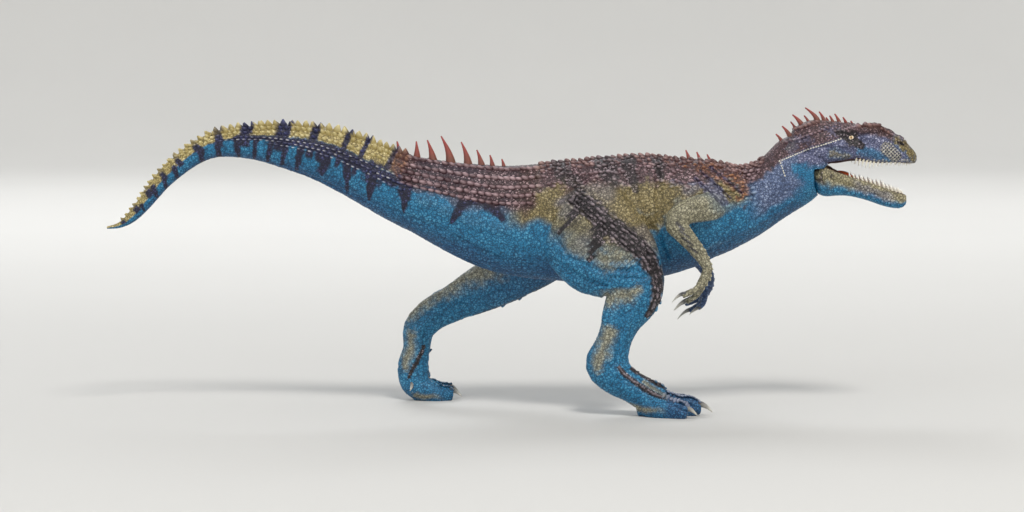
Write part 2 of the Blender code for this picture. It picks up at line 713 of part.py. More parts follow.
def paint(name, colour):
    """A plain painted plastic material."""
    material = bpy.data.materials.new(name)
    material.use_nodes = True
    shader = material.node_tree.nodes["Principled BSDF"]
    shader.inputs["Base Color"].default_value = colour
    shader.inputs["Roughness"].default_value = PAINT_ROUGHNESS
    shader.inputs["Metallic"].default_value = 0.0
    return material


def main():
    """Clears the scene and builds the six moulded pieces."""
    for obj in list(bpy.data.objects):
        bpy.data.objects.remove(obj)
    parts = bpy.data.collections.new("allosaurus_figurine")
    helpers = bpy.data.collections.new("cutters")
    for collection in (parts, helpers):
        bpy.context.scene.collection.children.link(collection)

    body, plain = make_body(parts, helpers)
    right = make_leg("right_leg", RIGHT_LEG, RIGHT_TOES, RIGHT_FOOT_CLAWS, plain, parts, helpers)
    left = make_leg("left_leg", LEFT_LEG, LEFT_TOES, LEFT_FOOT_CLAWS, plain, parts, helpers)
    right_arm = make_arm("right_arm", ARM, FINGERS, HAND_CLAWS, plain, parts, helpers)
    left_arm = make_left_arm(plain, parts, helpers)
    jaw = make_jaw(parts, helpers)
    helpers.hide_render = True

    for piece in parts.objects:
        piece.data.transform(Matrix.Translation((0, MIDDLE_PLANE_Y * MM, 0)))
    hinge = Vector(JAW_HINGE) * MM + Vector((0, MIDDLE_PLANE_Y * MM, 0))
    jaw.data.transform(Matrix.Translation(-hinge))
    jaw.location = hinge

    body.data.materials.append(paint("skin_paint", SKIN_COLOUR))
    for limb in (right, left, right_arm, left_arm):
        limb.data.materials.append(paint(limb.name + "_paint", BLUE_COLOUR))
    jaw.data.materials.append(paint("jaw_paint", JAW_COLOUR))


main()
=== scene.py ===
import logging
import math
import random
from collections.abc import Iterable, Iterator, Sequence
from dataclasses import dataclass, field
from enum import Enum

import bmesh
import bpy
import numpy as np
from mathutils import Matrix, Vector, noise
from mathutils.bvhtree import BVHTree


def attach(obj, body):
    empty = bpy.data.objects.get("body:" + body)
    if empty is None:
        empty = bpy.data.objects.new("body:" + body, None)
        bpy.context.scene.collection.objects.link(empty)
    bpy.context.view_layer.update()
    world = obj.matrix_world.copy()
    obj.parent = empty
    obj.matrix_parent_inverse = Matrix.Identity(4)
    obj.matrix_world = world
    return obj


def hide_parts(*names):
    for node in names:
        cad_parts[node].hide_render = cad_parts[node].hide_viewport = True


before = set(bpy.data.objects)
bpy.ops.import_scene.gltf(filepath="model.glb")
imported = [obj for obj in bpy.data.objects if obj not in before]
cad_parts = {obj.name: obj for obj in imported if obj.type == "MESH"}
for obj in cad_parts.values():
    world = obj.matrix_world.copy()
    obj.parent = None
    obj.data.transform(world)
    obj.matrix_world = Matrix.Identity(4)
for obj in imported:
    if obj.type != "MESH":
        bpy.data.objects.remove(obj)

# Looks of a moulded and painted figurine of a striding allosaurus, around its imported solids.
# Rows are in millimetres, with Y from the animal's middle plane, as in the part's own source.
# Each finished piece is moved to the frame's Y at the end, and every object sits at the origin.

Row = tuple[float, ...]
Rows = Sequence[Row]
Values = np.ndarray
Shape = bmesh.types.BMesh
Piece = bpy.types.Object
Tree = bpy.types.NodeTree
Socket = bpy.types.NodeSocket

MM = 0.001
MIDDLE_PLANE_Y = -3.8
LOG = logging.getLogger("figurine")

# How much lower the feet stand than their rows, which leaves a flat sole at the ground
SOLE_TRIM = 0.4
LOFT_STEPS = 3
HEAD_SQUARENESS = 3.2
# What a row of a limb counts for on the flat map that strokes are laid on, in millimetres
ROW_LENGTH = 7.5
# What Blender's noise is multiplied by, so that it runs from about -1 to 1
NOISE_STRETCH = 1.6


class Side(Enum):
    """A side of the animal, by the sign of its Y."""

    RIGHT = -1
    LEFT = 1


class Zone(Enum):
    """A moulded piece of skin, each with its own rules for the brush."""

    BODY = "body"
    HEAD = "head"
    JAW = "jaw"


@dataclass(frozen=True)
class Coat:
    """One colour of paint and how it looks where the dry brush has caught it.

    Attributes:
        base: sRGB hex colour of the airbrushed coat.
        face: sRGB hex colour of the dry brush on the scales' tops, which also paints highlights.
    """

    base: str
    face: str


class Paint(Enum):
    """The paints, in the order in which they go over each other.

    BLUE lies under all of them, and its own mask lays it on the cheek again, over MAUVE.
    """

    BLUE = Coat("#15709B", "#58A6C8")
    # Darker blue under belly, nape and arms, inside the thighs and near the ground: painted shade
    SHADE_BLUE = Coat("#123C6C", "#3C76A6")
    TAN = Coat("#75673F", "#B8AA80")
    SAND = Coat("#918868", "#CFC6A8")
    LAVENDER = Coat("#595E80", "#B4B5CB")
    MAUVE = Coat("#4C3438", "#B0949A")
    GOLD = Coat("#A3925A", "#E6DAA8")
    EMBER = Coat("#5E3322", "#C08650")
    INDIGO = Coat("#131434", "#484D80")
    PLUM = Coat("#3A181E", "#BFA0A4")
    DARK = Coat("#1E171B", "#A3949B")
    BONE = Coat("#B9B5A8", "#F2EFE4")
    MOUTH = Coat("#3A110E", "#8E3C28")


Masks = dict[Paint, Values]


def linear(code: str) -> tuple[float, float, float, float]:
    """Turns an sRGB hex colour into linear red, green, blue and alpha.

    Args:
        code: The colour, such as "#0C1216".

    Returns:
        The four channels, alpha being 1.
    """
    channels = [int(code[i : i + 2], 16) / 255 for i in (1, 3, 5)]
    low = [c / 12.92 if c <= 0.04045 else ((c + 0.055) / 1.055) ** 2.4 for c in channels]
    return (low[0], low[1], low[2], 1.0)


def smooth(start: float, end: float, values: Values) -> Values:
    """Rises smoothly from 0 at start to 1 at end."""
    share = np.clip((values - start) / (end - start), 0.0, 1.0)
    return share * share * (3.0 - 2.0 * share)


def window(low: float, high: float, values: Values, soft: float = 4.0) -> Values:
    """1 between low and high, with soft edges outside them."""
    return smooth(low - soft, low, values) * (1.0 - smooth(high, high + soft, values))


def grain(points: Values, size: float, seed: float = 0.0) -> Values:
    """Smooth noise from about -1 to 1, whose lumps are about size millimetres."""
    places = (points / size + seed).tolist()
    return np.array([noise.noise(place) for place in places]) * NOISE_STRETCH


def pebbles(points: Values, size: Values) -> Values:
    """Height of round scales packed side by side: 0 in the grooves, 1 on the tops.

    Args:
        points: Places on the skin in millimetres.
        size: Scale size at each place in millimetres.

    Returns:
        The height of the scale at each place.
    """
    places = (points / size[:, None]).tolist()
    near = np.array([noise.voronoi(place)[0][:2] for place in places])
    dome = 1.0 - 0.55 * np.clip(near[:, 0], 0.0, 1.0) ** 2
    return smooth(0.02, 0.42, near[:, 1] - near[:, 0]) * dome


@dataclass(frozen=True)
class Stroke:
    """A stroke of a brush, or a fold in the clay, on a flat map of the surface.

    Attributes:
        points: Places that the stroke runs through.
        widths: Half width at each place.
        soft: Share of the half width over which the edge fades.
    """

    points: tuple[tuple[float, float], ...]
    widths: tuple[float, ...]
    soft: float = 0.45

    def cover(self, u: Values, v: Values, ragged: Values | float = 0.0) -> Values:
        """How much of the stroke lies at each place, from 0 to 1."""
        best = np.zeros_like(u)
        for i in range(len(self.points) - 1):
            (au, av), (bu, bv) = self.points[i], self.points[i + 1]
            du, dv = bu - au, bv - av
            share = np.clip(((u - au) * du + (v - av) * dv) / (du * du + dv * dv), 0.0, 1.0)
            away = np.hypot(u - au - share * du, v - av - share * dv)
            width = self.widths[i] + (self.widths[i + 1] - self.widths[i]) * share
            best = np.maximum(best, 1.0 - smooth(1.0 - self.soft, 1.0, away / width + ragged))
        return best


# Strokes with the height in millimetres by which each raises or sinks the surface
Forms = Sequence[tuple[Stroke, float]]


def drawn(*places: Row, soft: float = 0.45) -> Stroke:
    """A stroke from its places, each with its two coordinates and its half width."""
    return Stroke(tuple(place[:2] for place in places), tuple(place[2] for place in places), soft)


def shaped(height: float, *places: Row, soft: float = 0.9) -> tuple[Stroke, float]:
    """A form of so many millimetres along a stroke, which is below 0 where it sinks."""
    return drawn(*places, soft=soft), height


def brushed(
    strokes: Iterable[Stroke], u: Values, v: Values, ragged: Values | float = 0.0
) -> Values:
    """The strongest cover of several strokes at each place."""
    best = np.zeros_like(u)
    for stroke in strokes:
        best = np.maximum(best, stroke.cover(u, v, ragged))
    return best


def raised(forms: Forms, u: Values, v: Values, wander: Values | float = 0.0) -> Values:
    """The heights of several forms, added up at each place."""
    return sum(height * stroke.cover(u, v, wander) for stroke, height in forms)


@dataclass
class Section:
    """One cross section of a loft, square to the loft's centre line."""

    centre: Vector
    half_width: float
    half_depth: float
    taper: float = 0.0
    squareness: float = 2.0


def catmull_rom(before: float, start: float, end: float, after: float, t: float) -> float:
    """Value at t between start and end on a smooth curve through four values."""
    return 0.5 * (
        2 * start
        + (end - before) * t
        + (2 * before - 5 * start + 4 * end - after) * t * t
        + (3 * start - before - 3 * end + after) * t * t * t
    )


def smooth_rows(rows: Rows, steps: int = LOFT_STEPS) -> list[Row]:
    """The rows with steps - 1 more put smoothly between each two."""
    made = []
    for i in range(len(rows) - 1):
        four = [rows[max(0, min(len(rows) - 1, i + k))] for k in (-1, 0, 1, 2)]
        for step in range(steps):
            made.append(tuple(catmull_rom(*values, step / steps) for values in zip(*four)))
    return [*made, tuple(rows[-1])]


def line_sections(rows: Rows, steps: int = LOFT_STEPS, grow: float = 0.0) -> list[Section]:
    """Round sections from rows of x, y, z, half width and half depth, made larger by grow."""
    return [
        Section(Vector(row[:3]), row[3] + grow, row[4] + grow) for row in smooth_rows(rows, steps)
    ]


def profile_sections(rows: Rows, grow: float = 0.0) -> list[Section]:
    """Upright sections from rows of x, half width, underside, top and taper, larger by grow."""
    sections = [
        Section(
            Vector((x, 0.0, (low + high) / 2)),
            width + grow,
            (high - low) / 2 + grow,
            taper,
            HEAD_SQUARENESS,
        )
        for x, width, low, high, taper in smooth_rows(rows)
    ]
    sections[0].centre.x -= grow
    sections[-1].centre.x += grow
    return sections


def towards_square(value: float, squareness: float) -> float:
    """A sine or cosine pushed outwards, so that a round section gets flatter sides."""
    return math.copysign(abs(value) ** (2 / squareness), value)


def loft(sections: Sequence[Section], sides: int = 24, upright: bool = False) -> Shape:
    """Bridges circles, each shaped to its section, into one closed form.

    Args:
        sections: The cross sections, in order.
        sides: How many corners each has.
        upright: Whether they stand square to X and not to the line through them.

    Returns:
        A new bmesh in metres.
    """
    bm = bmesh.new()
    last = len(sections) - 1
    rings = []
    for i, section in enumerate(sections):
        before, after = sections[max(0, i - 1)].centre, sections[min(last, i + 1)].centre
        along = Vector((1, 0, 0)) if upright else (after - before).normalized()
        side = Vector((0, 1, 0))
        side = (side - side.dot(along) * along).normalized()
        up = along.cross(side)
        ring = bmesh.ops.create_circle(bm, cap_ends=i in (0, last), radius=1.0, segments=sides)
        for vert in ring["verts"]:
            across = towards_square(vert.co.x, section.squareness)
            upward = towards_square(vert.co.y, section.squareness)
            width = section.half_width * (1 - section.taper * max(0.0, upward))
            place = section.centre + side * width * across + up * section.half_depth * upward
            vert.co = place * MM
        rings.append(list({edge for vert in ring["verts"] for edge in vert.link_edges}))
    for first, second in zip(rings, rings[1:]):
        bmesh.ops.bridge_loops(bm, edges=first + second)
    bmesh.ops.recalc_face_normals(bm, faces=bm.faces)
    return bm


def joined(shapes: Iterable[Shape]) -> Shape:
    """One bmesh that holds all the closed shapes, which are freed."""
    whole = bmesh.new()
    whole.verts.layers.float.new("relief")
    for shape in shapes:
        mesh = bpy.data.meshes.new("shape")
        shape.to_mesh(mesh)
        shape.free()
        whole.from_mesh(mesh)
        bpy.data.meshes.remove(mesh)
    return whole


def add_object(name: str, bm: Shape) -> Piece:
    """A new object with the bmesh's shape, which is freed, shaded smooth."""
    mesh = bpy.data.meshes.new(name)
    bm.to_mesh(mesh)
    bm.free()
    mesh.shade_smooth()
    obj = bpy.data.objects.new(name, mesh)
    bpy.context.scene.collection.objects.link(obj)
    return obj


def spin_round(
    bm: Shape, geometry: Sequence, centre: Vector, axis: Row, steps: int
) -> None:
    """Spins a line once round an axis into a surface."""
    bmesh.ops.spin(
        bm,
        geom=geometry,
        cent=centre,
        axis=axis,
        angle=2 * math.pi,
        steps=steps,
        use_merge=True,
    )


def apply_modifiers(obj: Piece) -> None:
    """Makes the object's evaluated shape its own mesh."""
    bpy.context.view_layer.update()
    graph = bpy.context.evaluated_depsgraph_get()
    mesh = bpy.data.meshes.new_from_object(obj.evaluated_get(graph))
    mesh.name = obj.name
    obj.modifiers.clear()
    obj.data = mesh


def fuse(obj: Piece, voxel: float, rounds: int) -> None:
    """Turns overlapping closed shapes into one skin of even quads and softens it.

    Args:
        obj: The object with the shapes.
        voxel: Size of a quad in millimetres.
        rounds: How often the skin is softened.
    """
    remesh = obj.modifiers.new("Fuse", "REMESH")
    remesh.mode = "VOXEL"
    remesh.voxel_size = voxel * MM
    soften = obj.modifiers.new("Soften", "SMOOTH")
    soften.factor = 0.5
    soften.iterations = rounds
    apply_modifiers(obj)
    obj.data.shade_smooth()


def carve(obj: Piece, tool: Piece) -> None:
    """Cuts the tool's closed shape out of the object and removes the tool."""
    cut = obj.modifiers.new("Carve", "BOOLEAN")
    cut.operation = "DIFFERENCE"
    cut.solver = "MANIFOLD"
    cut.object = tool
    apply_modifiers(obj)
    bpy.data.objects.remove(tool)


def read_points(mesh: bpy.types.Mesh) -> Values:
    """The mesh's points in millimetres."""
    flat = np.empty(len(mesh.vertices) * 3, dtype=np.float32)
    mesh.vertices.foreach_get("co", flat)
    return flat.reshape(-1, 3).astype(np.float64) / MM


def read_normals(mesh: bpy.types.Mesh) -> Values:
    """The normals of the mesh's points."""
    flat = np.empty(len(mesh.vertices) * 3, dtype=np.float32)
    mesh.vertex_normals.foreach_get("vector", flat)
    return flat.reshape(-1, 3).astype(np.float64)


def write_values(mesh: bpy.types.Mesh, name: str, values: Values) -> None:
    """Keeps a number for each point under a name that the paint reads."""
    layer = mesh.attributes.get(name) or mesh.attributes.new(name, "FLOAT", "POINT")
    layer.data.foreach_set("value", values.astype(np.float32))


def read_values(mesh: bpy.types.Mesh, name: str) -> Values:
    """The numbers kept under a name."""
    flat = np.empty(len(mesh.vertices), dtype=np.float32)
    mesh.attributes[name].data.foreach_get("value", flat)
    return flat.astype(np.float64)


def push(mesh: bpy.types.Mesh, points: Values, normals: Values, heights: Values) -> None:
    """Moves each point along its normal by so many millimetres."""
    moved = (points + normals * heights[:, None]) * MM
    mesh.vertices.foreach_set("co", moved.astype(np.float32).ravel())
    mesh.update()


def keep_one_side(obj: Piece, place: Row, outward: Row, name: str) -> Piece:
    """A closed copy of the part of the object that lies behind a plane.

    Args:
        obj: The whole object.
        place: A point of the plane in millimetres.
        outward: Direction in which everything is cut away.
        name: Name of the new object.

    Returns:
        The new object, with a flat face where the plane cut it.
    """
    bm = bmesh.new()
    bm.from_mesh(obj.data)
    cut = bmesh.ops.bisect_plane(
        bm,
        geom=bm.verts[:] + bm.edges[:] + bm.faces[:],
        dist=1e-8,
        plane_co=Vector(place) * MM,
        plane_no=Vector(outward),
        clear_outer=True,
    )
    rim = [item for item in cut["geom_cut"] if isinstance(item, bmesh.types.BMEdge)]
    caps = bmesh.ops.holes_fill(bm, edges=rim)["faces"]
    for edge in rim:
        edge.smooth = False
    made = add_object(name, bm)
    for face in made.data.polygons[len(made.data.polygons) - len(caps) :]:
        face.use_smooth = False
    return made


class BodyMap:
    """Tells where a point lies on the tail, trunk and neck.

    Its stations are the X of the nearest point of the spine, in millimetres.
    """

    def __init__(self, rows: Rows) -> None:
        """Reads the spine's rows.

        Args:
            rows: x, y, z, half width and half depth of each section.
        """
        fine = np.array(smooth_rows(rows, 10))
        self.x, self.y, self.z, self.width, self.depth = fine.T[:5]
        dx, dz = np.gradient(self.x), np.gradient(self.z)
        size = np.hypot(dx, dz)
        self.tx, self.tz = dx / size, dz / size
        self.arc = np.concatenate([[0.0], np.cumsum(np.hypot(np.diff(self.x), np.diff(self.z)))])

    def at(self, values: Values, station: Values) -> Values:
        """One of the spine's columns at the stations."""
        return np.interp(station, self.x, values)

    def locate(self, points: Values) -> tuple[Values, Values, Values]:
        """Finds the points' stations and their places in the cross section.

        Args:
            points: Places in millimetres.

        Returns:
            The station, the height from -1 at the belly to 1 at the back, and the share of the
            half width from the middle plane.
        """
        station = points[:, 0].copy()
        for _ in range(5):
            tx, tz = self.at(self.tx, station), self.at(self.tz, station)
            lead = (points[:, 0] - station) * tx + (points[:, 2] - self.at(self.z, station)) * tz
            station = np.clip(station + 0.8 * lead * tx, self.x[0], self.x[-1])
        tx, tz = self.at(self.tx, station), self.at(self.tz, station)
        rise = (points[:, 2] - self.at(self.z, station)) * tx - (points[:, 0] - station) * tz
        out = (points[:, 1] - self.at(self.y, station)) / self.at(self.width, station)
        return station, rise / self.at(self.depth, station), out

    def frame_at(self, station: float) -> tuple[Vector, Vector, Vector]:
        """Centre, direction along and direction up of the section at a station."""
        centre = Vector([float(np.interp(station, self.x, c)) for c in (self.x, self.y, self.z)])
        tx, tz = (float(np.interp(station, self.x, c)) for c in (self.tx, self.tz))
        return centre, Vector((tx, 0, tz)), Vector((-tz, 0, tx))


class LimbMap:
    """Tells where a point lies along a leg or an arm."""

    STEPS = 6

    def __init__(self, rows: Rows) -> None:
        """Reads the limb's rows.

        Args:
            rows: x, y, z, half width and half depth of each section.
        """
        fine = np.array(smooth_rows(rows, self.STEPS))
        self.centres, self.depth = fine[:, :3], fine[:, 4]
        dx, dz = np.gradient(fine[:, 0]), np.gradient(fine[:, 2])
        size = np.hypot(dx, dz)
        self.front = np.stack([-dz / size, dx / size], axis=1)

    def locate(self, points: Values) -> tuple[Values, Values, Values]:
        """Finds how far down the limb each point is.

        Args:
            points: Places in millimetres.

        Returns:
            The row counted from the root, how far forward of the centre line in millimetres, and
            how far away from it in half depths.
        """
        nearest = np.empty(len(points), dtype=int)
        for start in range(0, len(points), 20000):
            part = points[start : start + 20000]
            away = ((part[:, None, :] - self.centres[None]) ** 2).sum(axis=2)
            nearest[start : start + 20000] = away.argmin(axis=1)
        offset = points - self.centres[nearest]
        front = (offset[:, [0, 2]] * self.front[nearest]).sum(axis=1)
        far = np.linalg.norm(offset, axis=1) / self.depth[nearest]
        return nearest / self.STEPS, front, far


def lowered(rows: Rows) -> tuple[Row, ...]:
    """Rows of a leg or toe, moved down by what the flat soles take."""
    return tuple((row[0], row[1], row[2] - SOLE_TRIM, *row[3:]) for row in rows)


@dataclass
class Measures:
    """The animal's driving rows, the same as in the part's source."""

    spine: Rows = (
        (-132.2, -4.4, 60.1, 0.5, 0.5), (-127.7, -4.6, 61.0, 1.1, 1.0),
        (-123.8, -4.8, 63.6, 1.6, 1.8), (-119.8, -5.0, 67.9, 1.9, 2.3),
        (-115.8, -5.1, 72.9, 2.2, 2.7), (-111.9, -5.1, 77.2, 2.4, 3.0),
        (-104.0, -5.0, 83.5, 2.8, 3.4), (-96.0, -4.6, 87.3, 3.3, 4.2),
        (-84.2, -3.8, 87.9, 4.1, 5.5), (-72.3, -2.7, 86.4, 5.0, 7.4),
        (-60.4, -1.7, 83.6, 6.0, 9.0), (-48.5, -0.8, 78.7, 7.2, 10.2),
        (-37.0, -0.3, 73.2, 8.6, 11.3), (-25.0, 0.0, 69.0, 10.2, 13.3),
        (-13.6, 0.0, 65.4, 11.4, 15.8), (-2.0, 0.0, 62.6, 12.2, 17.8),
        (11.0, 0.0, 61.8, 12.8, 19.2), (27.0, 0.0, 62.2, 13.4, 20.2),
        (42.2, 0.0, 63.2, 13.6, 20.6), (53.5, -0.2, 64.2, 12.8, 19.0),
        (62.5, -0.4, 65.8, 11.6, 16.7), (69.7, -0.6, 66.9, 10.2, 14.8),
        (76.9, -0.8, 68.5, 9.1, 12.2), (84.6, -0.9, 72.0, 8.2, 10.2),
        (91.4, -0.8, 76.9, 7.6, 10.8), (96.0, -0.5, 81.6, 7.2, 10.6),
        (99.8, -0.2, 86.0, 6.6, 7.6),
    )
    right_leg: Rows = (
        (17.0, -6.0, 68.0, 5.0, 11.0), (20.6, -8.8, 65.0, 7.4, 15.2),
        (25.6, -10.8, 60.0, 8.4, 17.2), (31.4, -12.2, 53.4, 8.2, 16.8),
        (37.2, -13.4, 47.6, 7.4, 13.2), (40.4, -14.2, 42.8, 6.6, 9.5),
        (39.0, -14.7, 37.6, 5.8, 8.6), (36.2, -15.1, 32.4, 5.0, 7.0),
        (34.2, -15.4, 27.0, 4.3, 5.7), (32.5, -15.6, 22.0, 4.2, 6.0),
        (31.2, -15.7, 17.0, 4.5, 7.2), (34.6, -15.8, 12.6, 4.6, 6.0),
        (39.4, -15.9, 9.6, 5.0, 5.2), (44.8, -16.2, 6.6, 5.8, 5.5), (48.4, -16.3, 5.0, 5.4, 4.9),
    )
    left_leg: Rows = (
        (20.0, 7.0, 67.0, 5.0, 10.5), (17.5, 10.2, 61.5, 7.4, 13.4),
        (13.4, 13.0, 56.2, 8.2, 13.2), (8.0, 15.2, 50.4, 7.6, 11.6), (1.8, 17.2, 45.2, 6.8, 9.8),
        (-5.2, 18.6, 40.8, 6.0, 8.6), (-12.6, 19.6, 36.9, 5.2, 7.5),
        (-19.6, 20.4, 33.2, 4.5, 6.2), (-26.4, 21.0, 29.6, 4.2, 5.7),
        (-31.0, 21.3, 24.6, 4.1, 5.4), (-31.8, 21.5, 18.0, 3.7, 4.6),
        (-33.0, 21.7, 11.6, 3.9, 5.4), (-32.2, 21.8, 6.4, 4.5, 5.2), (-29.4, 22.1, 4.0, 5.0, 4.4),
        (-27.0, 22.4, 3.2, 4.2, 3.6),
    )
    right_toes: Sequence[Rows] = (
        (
            (44.0, -13.6, 5.0, 2.7, 4.6), (49.4, -11.4, 3.8, 2.6, 4.2),
            (52.8, -10.2, 3.2, 2.1, 3.4), (56.2, -9.2, 2.9, 2.2, 3.3),
            (58.6, -8.7, 2.5, 1.5, 2.2),
        ),
        (
            (40.4, -16.2, 3.9, 3.4, 3.9), (45.4, -16.4, 4.6, 3.6, 4.8),
            (51.0, -16.6, 3.8, 2.8, 4.3), (54.4, -16.7, 3.3, 2.3, 3.5),
            (57.6, -16.8, 3.2, 2.4, 3.6), (60.2, -16.9, 2.9, 1.9, 2.6),
            (61.6, -17.0, 2.8, 1.3, 1.7),
        ),
        (
            (43.6, -19.0, 5.0, 2.7, 4.6), (48.4, -21.4, 3.8, 2.6, 4.2),
            (51.6, -22.6, 3.2, 2.0, 3.3), (54.8, -23.6, 2.8, 2.1, 3.2),
            (56.8, -24.1, 2.4, 1.4, 2.1),
        ),
    )
    left_toes: Sequence[Rows] = (
        (
            (-29.0, 19.6, 4.0, 2.5, 3.8), (-24.4, 19.8, 2.6, 2.4, 3.2),
            (-21.8, 20.4, 2.4, 1.9, 2.7), (-19.8, 21.0, 2.1, 1.6, 2.1),
        ),
        (
            (-33.0, 21.6, 3.9, 3.2, 4.0), (-29.0, 22.2, 4.0, 3.2, 4.1),
            (-24.8, 24.6, 2.8, 2.6, 3.4), (-22.2, 26.4, 2.6, 2.0, 2.9),
            (-20.2, 27.6, 2.3, 1.7, 2.2),
        ),
        (
            (-30.0, 24.0, 4.0, 2.5, 3.8), (-27.6, 27.4, 2.6, 2.4, 3.2),
            (-26.2, 29.6, 2.4, 1.8, 2.6), (-25.2, 31.0, 2.1, 1.5, 2.0),
        ),
    )
    arm: Rows = (
        (74.0, -3.0, 67.6, 2.4, 3.4), (68.8, -7.8, 67.6, 3.5, 4.7), (61.6, -12.4, 67.0, 3.7, 4.4),
        (56.0, -13.8, 65.4, 3.3, 3.8), (52.9, -14.6, 62.4, 3.0, 3.4),
        (54.9, -15.0, 59.6, 2.8, 3.1), (58.4, -15.2, 55.6, 2.4, 2.6),
        (61.7, -15.3, 51.2, 2.0, 2.1), (63.4, -15.3, 47.6, 1.7, 1.6),
        (62.6, -15.2, 44.4, 1.9, 1.6), (60.9, -15.1, 41.8, 1.6, 1.4),
    )
    fingers: Sequence[Rows] = (
        (
            (62.2, -15.9, 43.6, 1.1, 1.1), (59.4, -16.9, 40.8, 1.0, 1.1),
            (55.2, -17.3, 39.0, 0.9, 0.9),
        ),
        (
            (62.2, -14.8, 43.0, 1.1, 1.1), (60.2, -14.8, 39.2, 1.0, 1.0),
            (56.6, -14.8, 36.8, 0.9, 0.9),
        ),
        (
            (62.0, -14.0, 43.4, 0.9, 1.0), (61.2, -12.8, 39.8, 0.8, 0.9),
            (59.2, -12.3, 37.8, 0.7, 0.8),
        ),
    )
    left_arm_forward: float = 3.0
    left_arm_drop: float = 6.0
    elbow_row: int = 4
    skull: Rows = (
        (92.0, 4.6, 83.0, 91.6, 0.20), (95.0, 6.6, 81.4, 94.0, 0.25),
        (99.5, 8.0, 81.0, 95.2, 0.30), (105.9, 7.9, 81.0, 94.6, 0.30),
        (111.0, 7.4, 81.8, 94.0, 0.28), (115.6, 6.5, 81.6, 93.2, 0.34),
        (119.4, 6.0, 81.0, 94.0, 0.42), (123.4, 5.5, 81.2, 92.0, 0.40),
        (127.2, 5.0, 81.1, 90.0, 0.34), (130.2, 4.1, 81.0, 87.2, 0.28),
        (132.0, 2.8, 81.0, 85.0, 0.20), (132.8, 1.2, 81.8, 83.6, 0.10),
    )
    brow: Rows = (
        (104.5, -6.4, 90.6, 0.7, 0.8), (108.0, -6.3, 92.2, 1.1, 1.1),
        (112.0, -5.7, 92.8, 1.2, 1.1), (116.4, -4.7, 93.2, 1.2, 1.3),
        (119.4, -4.0, 93.6, 1.1, 1.5), (122.2, -3.4, 92.0, 0.9, 1.1),
        (127.0, -2.8, 89.6, 0.7, 0.8),
    )
    jaw: Rows = (
        (98.9, 4.2, 74.0, 80.0, 0.00), (100.2, 5.4, 71.4, 81.0, 0.00),
        (102.8, 5.9, 70.2, 80.8, -0.05), (106.2, 5.6, 70.4, 79.2, -0.12),
        (109.6, 5.0, 70.4, 77.6, -0.18), (113.2, 4.5, 69.8, 76.3, -0.22),
        (117.5, 4.1, 68.6, 75.0, -0.24), (121.4, 3.8, 67.2, 73.6, -0.24),
        (125.4, 3.5, 66.3, 72.1, -0.20), (128.0, 2.8, 66.4, 71.2, -0.10),
        (129.5, 1.5, 67.6, 70.6, 0.00),
    )

    def limb_of(self, side: Side) -> Rows:
        """The leg's rows on that side, as low as it stands."""
        return lowered(self.right_leg if side is Side.RIGHT else self.left_leg)

    def toes_of(self, side: Side) -> list[Rows]:
        """The toes' rows on that side, as low as they stand."""
        toes = self.right_toes if side is Side.RIGHT else self.left_toes
        return [lowered(toe) for toe in toes]

    def arm_row(self, row: Row, side: Side, share: float = 1.0) -> Row:
        """A row of the right arm as that side has it; the left one is further forward and lower."""
        if side is Side.RIGHT:
            return row
        drop = share * self.left_arm_drop
        return (row[0] + self.left_arm_forward, -row[1], row[2] - drop, *row[3:])

    def arm_of(self, side: Side) -> list[Row]:
        """The arm's rows on that side."""
        return [
            self.arm_row(row, side, min(1.0, i / self.elbow_row)) for i, row in enumerate(self.arm)
        ]


def value_at(rows: Rows, x: Values | float, column: int = 1) -> Values | float:
    """A column's value at x, read between the rows, which start with their own x."""
    return np.interp(x, [row[0] for row in rows], [row[column] for row in rows])


def edge_at(profile: Rows, x: float, y: float, sign: float) -> float:
    """Height of a profile's skin at x and y, on its top for sign 1 and its underside for -1."""
    width, low, high = (value_at(profile, x, column) for column in (1, 2, 3))
    share = min(1.0, abs(y) / width)
    rise = (1.0 - share**HEAD_SQUARENESS) ** (1.0 / HEAD_SQUARENESS)
    return (low + high) / 2 + sign * rise * (high - low) / 2


def horn(
    root: Row,
    tip: Row,
    radius: float,
    bow: float,
    sides: int = 10,
    steps: int = 7,
    slimming: float = 0.8,
    blunt: float = 0.04,
) -> Shape:
    """A closed, bent and pointed cone, with its relief rising from root to tip.

    Args:
        root: Centre of its root on the surface.
        tip: Its point.
        radius: Half width at the root.
        bow: How far its middle stands off the straight line.
        sides: Corners of a section.
        steps: Sections from root to tip.
        slimming: Below 1 it stays thick for long, above 1 it has a flared root.
        blunt: Half width of the tip.

    Returns:
        A new bmesh in metres.
    """
    start, end = Vector(root), Vector(tip)
    along = (end - start).normalized()
    bend = Vector((0, 0, 1)) if abs(along.z) < 0.8 else Vector((1, 0, 0))
    inside = start - along * radius
    sections = []
    for step in range(steps + 1):
        t = step / steps
        centre = inside.lerp(end, t) + bend * bow * math.sin(math.pi * t)
        size = blunt + (radius - blunt) * (1 - t) ** slimming
        sections.append(Section(centre, size, size))
    bm = loft(sections, sides)
    layer = bm.verts.layers.float.new("relief")
    for vert in bm.verts:
        share = (vert.co / MM - start).dot(end - start) / (end - start).length_squared
        vert[layer] = min(1.0, max(0.0, share))
    return bm


